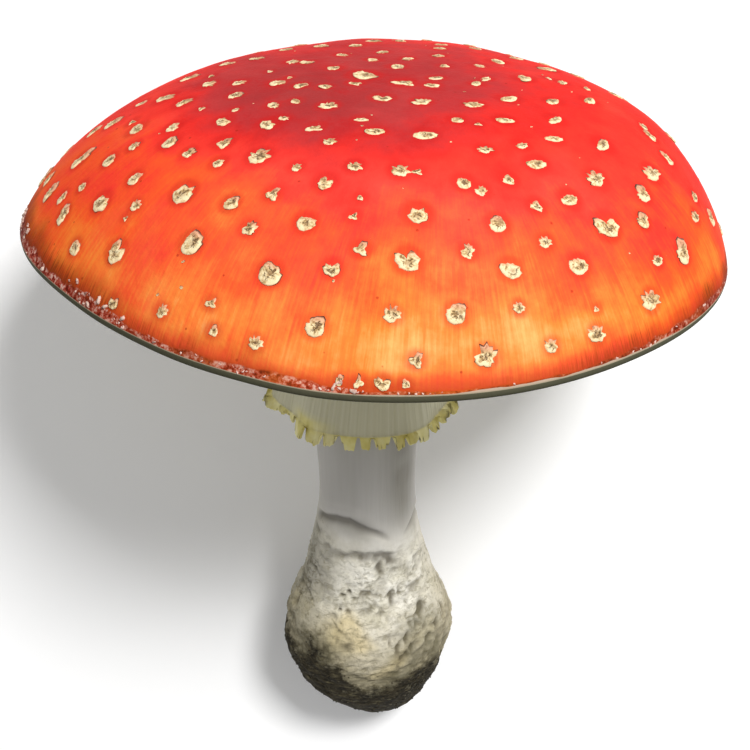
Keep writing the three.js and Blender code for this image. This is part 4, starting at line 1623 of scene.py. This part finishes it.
def stem_material():
    material, tree, shader = new_material("Stem flesh, fibrous, with soil on the bulb")
    # Its coordinates are the smooth stem's in millimetres, so no colour smears in a pit.
    place = add(tree, "Attribute", attribute_name="pile", out="Vector")
    rough = add(tree, "Attribute", attribute_name="rough", out="Fac")
    blotches = add(tree, "TexNoise", place, Scale=1 / 8, Detail=4.0, Roughness=0.6)
    grain = add(tree, "TexNoise", place, Scale=1 / 1.2, Detail=4.0, Roughness=0.65)
    fibres = add(tree, "VectorMath", place, (1, 1, 0.06), operation="MULTIPLY")
    fibres = add(tree, "TexNoise", fibres, Scale=1 / 1.1, Detail=3.0)
    base = stem_flesh(tree, fibres, blotches)
    base = dirt_and_shade_layers(tree, base, place, grain, blotches)
    base = soiled(tree, base, place, grain)
    faint = add(tree, "Math", fibres, 0.25, operation="MULTIPLY")
    height = add(tree, "Mix", rough, faint, grain, data_type="RGBA")
    bump = add(tree, "Bump", Strength=1.0, Distance=0.45 * MM, Height=height)
    dull = add(tree, "MapRange", rough, 0.0, 1.0, 0.55, 0.85)
    fill(tree, shader, Base_Color=base, Normal=bump, Roughness=dull, IOR=1.2)
    return material


stem.data.materials.append(stem_material())
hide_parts("stem")
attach(stem, "root")
print("stem finished")

# %% [markdown]
# Loose crumbs of soil still cling to the bulb. They are scattered like the rim's flakes.

# %% Soil crumbs
crumb_material = bit_material("Soil crumb, dark humus", [
    (0.2, "#15130E"), (0.7, "#332D22"), (0.95, "#4C4536")], Roughness=0.95, IOR=1.2)
crumbs = scatter("soil_crumbs", stem, "earthy", 0.8, Shapes=chips("crumb_shapes", 5, 6, 0.8),
                 Material=crumb_material, Density=2.2e5, Least=0.1, Most=0.28, Seed=6)
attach(crumbs, "root")
print("soil crumbs:", len(crumbs.data.polygons), "faces")

# %% [markdown]
# The ring is the veil that once covered the gills. It hangs as a thin skirt and ends in a
# thicker yellow fringe, which tore into flaps when the cap opened. Cutting a plain skirt
# would leave straight edges. So the fringe gets its own length at every step round the
# stem: each flap has one at random, tears and nicks take it away, and noise frays it.

# %% Flaps of the fringe
RING_ROUND = 720
RING_START = 198
RING_END = RING_START + 360
# Azimuths of the tears between the flaps that show in front; more follow at random.
TEARS = [196, 209, 227, 243, 254.5, 268.5, 278, 291.5, 300, 308, 320.5, 333, 345]
# Some tears gape: azimuth and half the width, in degrees.
GAPS = [(209, 1.8), (227, 3.0), (254.5, 1.0), (268.5, 1.2), (278, 0.9), (291.5, 1.1), (308, 1.7),
        (320.5, 1.3), (333, 1.8), (345, 2.0)]

rng = np.random.default_rng(3)
tears = list(TEARS)
while tears[-1] < RING_END - 8:
    tears.append(tears[-1] + rng.uniform(7, 15))
tears = np.array(tears[:-1])
azimuth = np.linspace(0, 2 * math.pi, RING_ROUND, endpoint=False)
degrees = RING_START + (np.degrees(azimuth) - RING_START) % 360
flap = np.searchsorted(tears, degrees, side="right") - 1
ends = np.append(tears, RING_END)
inside = (degrees - ends[flap]) / (ends[flap + 1] - ends[flap])
print(len(tears), "flaps round the ring")


def each_flap(low, high):
    """A random number for every flap, at every step round the ring."""
    return rng.uniform(low, high, len(tears))[flap]


length = each_flap(0.7, 1.1) + each_flap(-0.5, 0.5) * (inside - 0.5)
ragged = np.stack([degrees, 0 * degrees, 0 * degrees], -1)
nicks = fade(bumps(ragged, 1.5, 80), 0.35, 0.7) * each_flap(0, 0.45)
nicks = nicks * (1 - 0.7 * front_side(azimuth, 217, 22))
length = length + 0.1 * layered(ragged, 2.2, 81, 2) - nicks + 0.2 * front_side(azimuth, 225, 25)
length = length - 0.3 * np.abs(2 * inside - 1) ** 4
length = length * (1 - 0.45 * front_side(azimuth, 194, 18))
for gone, wide in GAPS:
    length = length * fade(np.abs(degrees - gone), 0.4 * wide, wide)
length = length * fade(np.minimum(degrees - ends[flap], ends[flap + 1] - degrees), 0.3, 0.8)
print(f"fringe {length.mean():.2f} of its full length on average")

# %% [markdown]
# A torn flap doesn't hang straight. Each narrows towards its end and curls out or in,
# more at one side than at the other. The skirt above is grooved by the gills that it was
# pressed on, and waves a little.

# %% How the flaps hang
centre = (ends[flap] + ends[flap + 1]) / 2
narrow = each_flap(0.0, 0.25)
curl = (rng.uniform(-0.6, 0.9, len(tears)) + 1.2 * np.abs(np.cos(np.radians(tears))))[flap]
curl = curl - 1.0 * front_side(azimuth, 205, 30)
curl = curl + each_flap(-1.5, 1.5) * (inside - 0.5)
grooves = 0.12 * bumps(ragged, 1.6, 82) + 0.3 * bumps(ragged, 7, 83) - 0.5
wave = 0.5 * bumps(np.stack([np.cos(azimuth), np.sin(azimuth), 0 * azimuth], -1), 0.5, 85)
print(f"flaps curl by {curl.min():.1f} to {curl.max():.1f} mm")

# %% [markdown]
# The ring is one sheet with two sides, so its rows run down the inside, round the lower
# edge and up the outside, and close on themselves at the top, inside the stem.

# %% The ring's mesh
RING_LINE = [(12.9, 114), (13.8, 109), (15.8, 102), (18.4, 95), (20.6, 89.6), (21.2, 87.7)]
RING_STEPS = 22
SKIRT_THICKNESS = 0.5
FRINGE_THICKNESS = 1.0
FRINGE_DEPTH = 3.0
FRINGE_ROWS = [0.02, 0.6, 1.3, 2.0, 2.7, FRINGE_DEPTH]
RING_SHIFT = -1.3
# The skirt is squashed in at some azimuths, over spreads, by shares of its radius.
SQUASHED = [(256, 85, 0.15), (203, 38, 0.13), (338, 38, 0.1)]

line = smooth_line(RING_LINE, 400)
along = np.linspace(0, 1, RING_STEPS)
skirt = np.stack([np.interp(along, np.linspace(0, 1, 400), line[:, k]) for k in (0, 1)], -1)
down = np.gradient(skirt, axis=0)
down /= np.linalg.norm(down, axis=1, keepdims=True)
out = np.stack([-down[:, 1], down[:, 0]], -1)
squash = sum(by * front_side(azimuth, middle, spread) for middle, spread, by in SQUASHED)


def ring_row(i, side, extra):
    """Points at step i of the skirt, or extra mm down its fringe, on one side of it."""
    hang = fade(along[i], 0.15, 0.9)
    middle = skirt[i][None] + down[i][None] * (extra * length)[:, None]
    bent = out[i][None] * (hang * (grooves + wave) + curl * (extra / FRINGE_DEPTH) ** 1.5)[:, None]
    last = i == RING_STEPS - 1
    thick = FRINGE_THICKNESS * (1 - 0.35 * extra / FRINGE_DEPTH) if last else SKIRT_THICKNESS
    point = middle + bent + out[i] * side * thick / 2
    radius = point[:, 0] * (1 - hang * squash)
    turned = np.radians(degrees - (degrees - centre) * narrow * extra / FRINGE_DEPTH)
    return np.stack([radius * np.cos(turned) + RING_SHIFT * hang, radius * np.sin(turned), point[:, 1]], -1)


steps = [(i, -1, 0) for i in range(RING_STEPS - 1)]
steps += [(RING_STEPS - 1, -1, extra) for extra in FRINGE_ROWS]
steps += [(RING_STEPS - 1, 0, FRINGE_DEPTH + 0.12)]
steps += [(RING_STEPS - 1, 1, extra) for extra in FRINGE_ROWS[::-1]]
steps += [(i, 1, 0) for i in range(RING_STEPS - 2, -1, -1)]
ring = from_rings("ring_skirt", np.array([ring_row(*step) for step in steps]), hoop=True)
# The yellow of the fringe climbs the skirt on the left, and torn edges are dark.
climbs = front_side(azimuth, 226, 32)
whole = 0 * azimuth + 1
fringe = [whole if i == RING_STEPS - 1 else climbs * fade(along[i], 0.72, 0.84) for i, _, _ in steps]
edge = [fade(extra, FRINGE_DEPTH - 0.6, FRINGE_DEPTH) * fade(nicks, 0, 0.1) for _, _, extra in steps]
store(ring, "fringe", np.array(fringe))
store(ring, "edge", np.array(edge))
store(ring, "around", np.repeat((degrees / 360)[None], len(steps), 0))
weld(ring.data)
print("ring:", len(ring.data.polygons), "faces")

# %% [markdown]
# The sheet is thin, papery and greenish white, with fine stripes where the gills pressed
# it, and its fringe is blotched with yellow. The stripes follow a number kept round the
# ring, because no texture in space would run with its grooves.

# %% Ring finish
def ring_material():
    material, tree, shader = new_material("Ring membrane, thin papery veil")
    place = add(tree, "TexCoord", out="Object")
    around, fringe, edge = (
        add(tree, "Attribute", attribute_name=name, out="Fac") for name in ("around", "fringe", "edge"))
    stripes = add(tree, "CombineXYZ", around)
    stripes = add(tree, "TexNoise", stripes, Scale=150.0, Detail=2.0)
    sheet = add(tree, "ValToRGB", stripes, stops=[(0.3, "#C6C2A2"), (0.7, "#D6D3BA")])
    blotches = add(tree, "TexNoise", place, Scale=per_mm(5), Detail=3.0)
    yellow = add(tree, "ValToRGB", blotches, stops=[(0.35, "#D6CA74"), (0.5, "#EAE092"), (0.66, "#F4EDB4")])
    base = add(tree, "Mix", fringe, sheet, yellow, data_type="RGBA")
    base = add(tree, "Mix", edge, base, "#6A6034", data_type="RGBA")
    fine = add(tree, "TexNoise", place, Scale=per_mm(0.9), Detail=2.0)
    bump = add(tree, "Bump", Strength=0.3, Distance=0.2 * MM, Height=fine)
    fill(tree, shader, Base_Color=base, Normal=bump, Roughness=0.7)
    return material


ring.data.materials.append(ring_material())
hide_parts("ring")
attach(ring, "root")
print("ring finished")

# %% [markdown]
# The stage is a pale table under plain studio light. A real table would end somewhere, so
# it is made to glow a little, and more with distance, until it is as white as the
# surround behind it. Only what the camera sees glows, so no light is added.

# %% Table
def seen_directly(tree):
    """1 for what the camera sees, also by way of a shiny or clear surface."""
    path = tree.nodes.new("ShaderNodeLightPath").outputs
    seen = add(tree, "Math", path["Is Camera Ray"], path["Is Glossy Ray"], operation="MAXIMUM")
    return add(tree, "Math", seen, path["Is Transmission Ray"], operation="MAXIMUM")


def make_table():
    mesh = bpy.data.meshes.new("table")
    mesh.from_pydata([(-3, -3, 0), (3, -3, 0), (3, 3, 0), (-3, 3, 0)], [], [(0, 1, 2, 3)])
    table = bpy.data.objects.new("table", mesh)
    bpy.context.scene.collection.objects.link(table)
    material, tree, shader = new_material("Table, matt white laminate")
    away = add(tree, "TexCoord", out="Object")
    away = add(tree, "VectorMath", away, operation="LENGTH")
    glow = add(tree, "MapRange", away, 0.3, 1.0, 0.1, 1.0)
    glow = add(tree, "Math", seen_directly(tree), glow, operation="MULTIPLY")
    fill(tree, shader, Base_Color="#F7F7F7", Roughness=0.9, Emission_Color="#FFFFFF",
         Emission_Strength=glow)
    mesh.materials.append(material)


make_table()
print("table ready")

# %% [markdown]
# The light is an even pale surround and one broad lamp high up behind the cap, so that
# the cap shades the top of the stem. More lamps would only flatten the relief.

# %% Surround and lamp
def make_surround(strength):
    """An even light that shows as white where the camera looks past the table."""
    world = bpy.data.worlds.new("surround")
    world.use_nodes = True
    tree = world.node_tree
    shown = add(tree, "MapRange", seen_directly(tree), 0.0, 1.0, strength, 1.0)
    fill(tree, tree.nodes["Background"], Color="#FFFFFF", Strength=shown)
    bpy.context.scene.world = world


def make_lamp(name, direction, distance, size, watts):
    lamp_data = bpy.data.lights.new(name, "AREA")
    lamp_data.size = size
    lamp_data.energy = watts
    lamp = bpy.data.objects.new(name, lamp_data)
    direction = Vector(direction).normalized()
    lamp.location = direction * distance + Vector((0, 0, 0.06))
    lamp.rotation_euler = direction.to_track_quat("Z", "Y").to_euler()
    bpy.context.scene.collection.objects.link(lamp)


make_surround(0.38)
make_lamp("key", (0.329, 0.370, 0.869), 1.2, 0.3, 13.3)
bpy.context.scene.view_settings.view_transform = "Standard"
print("light ready")
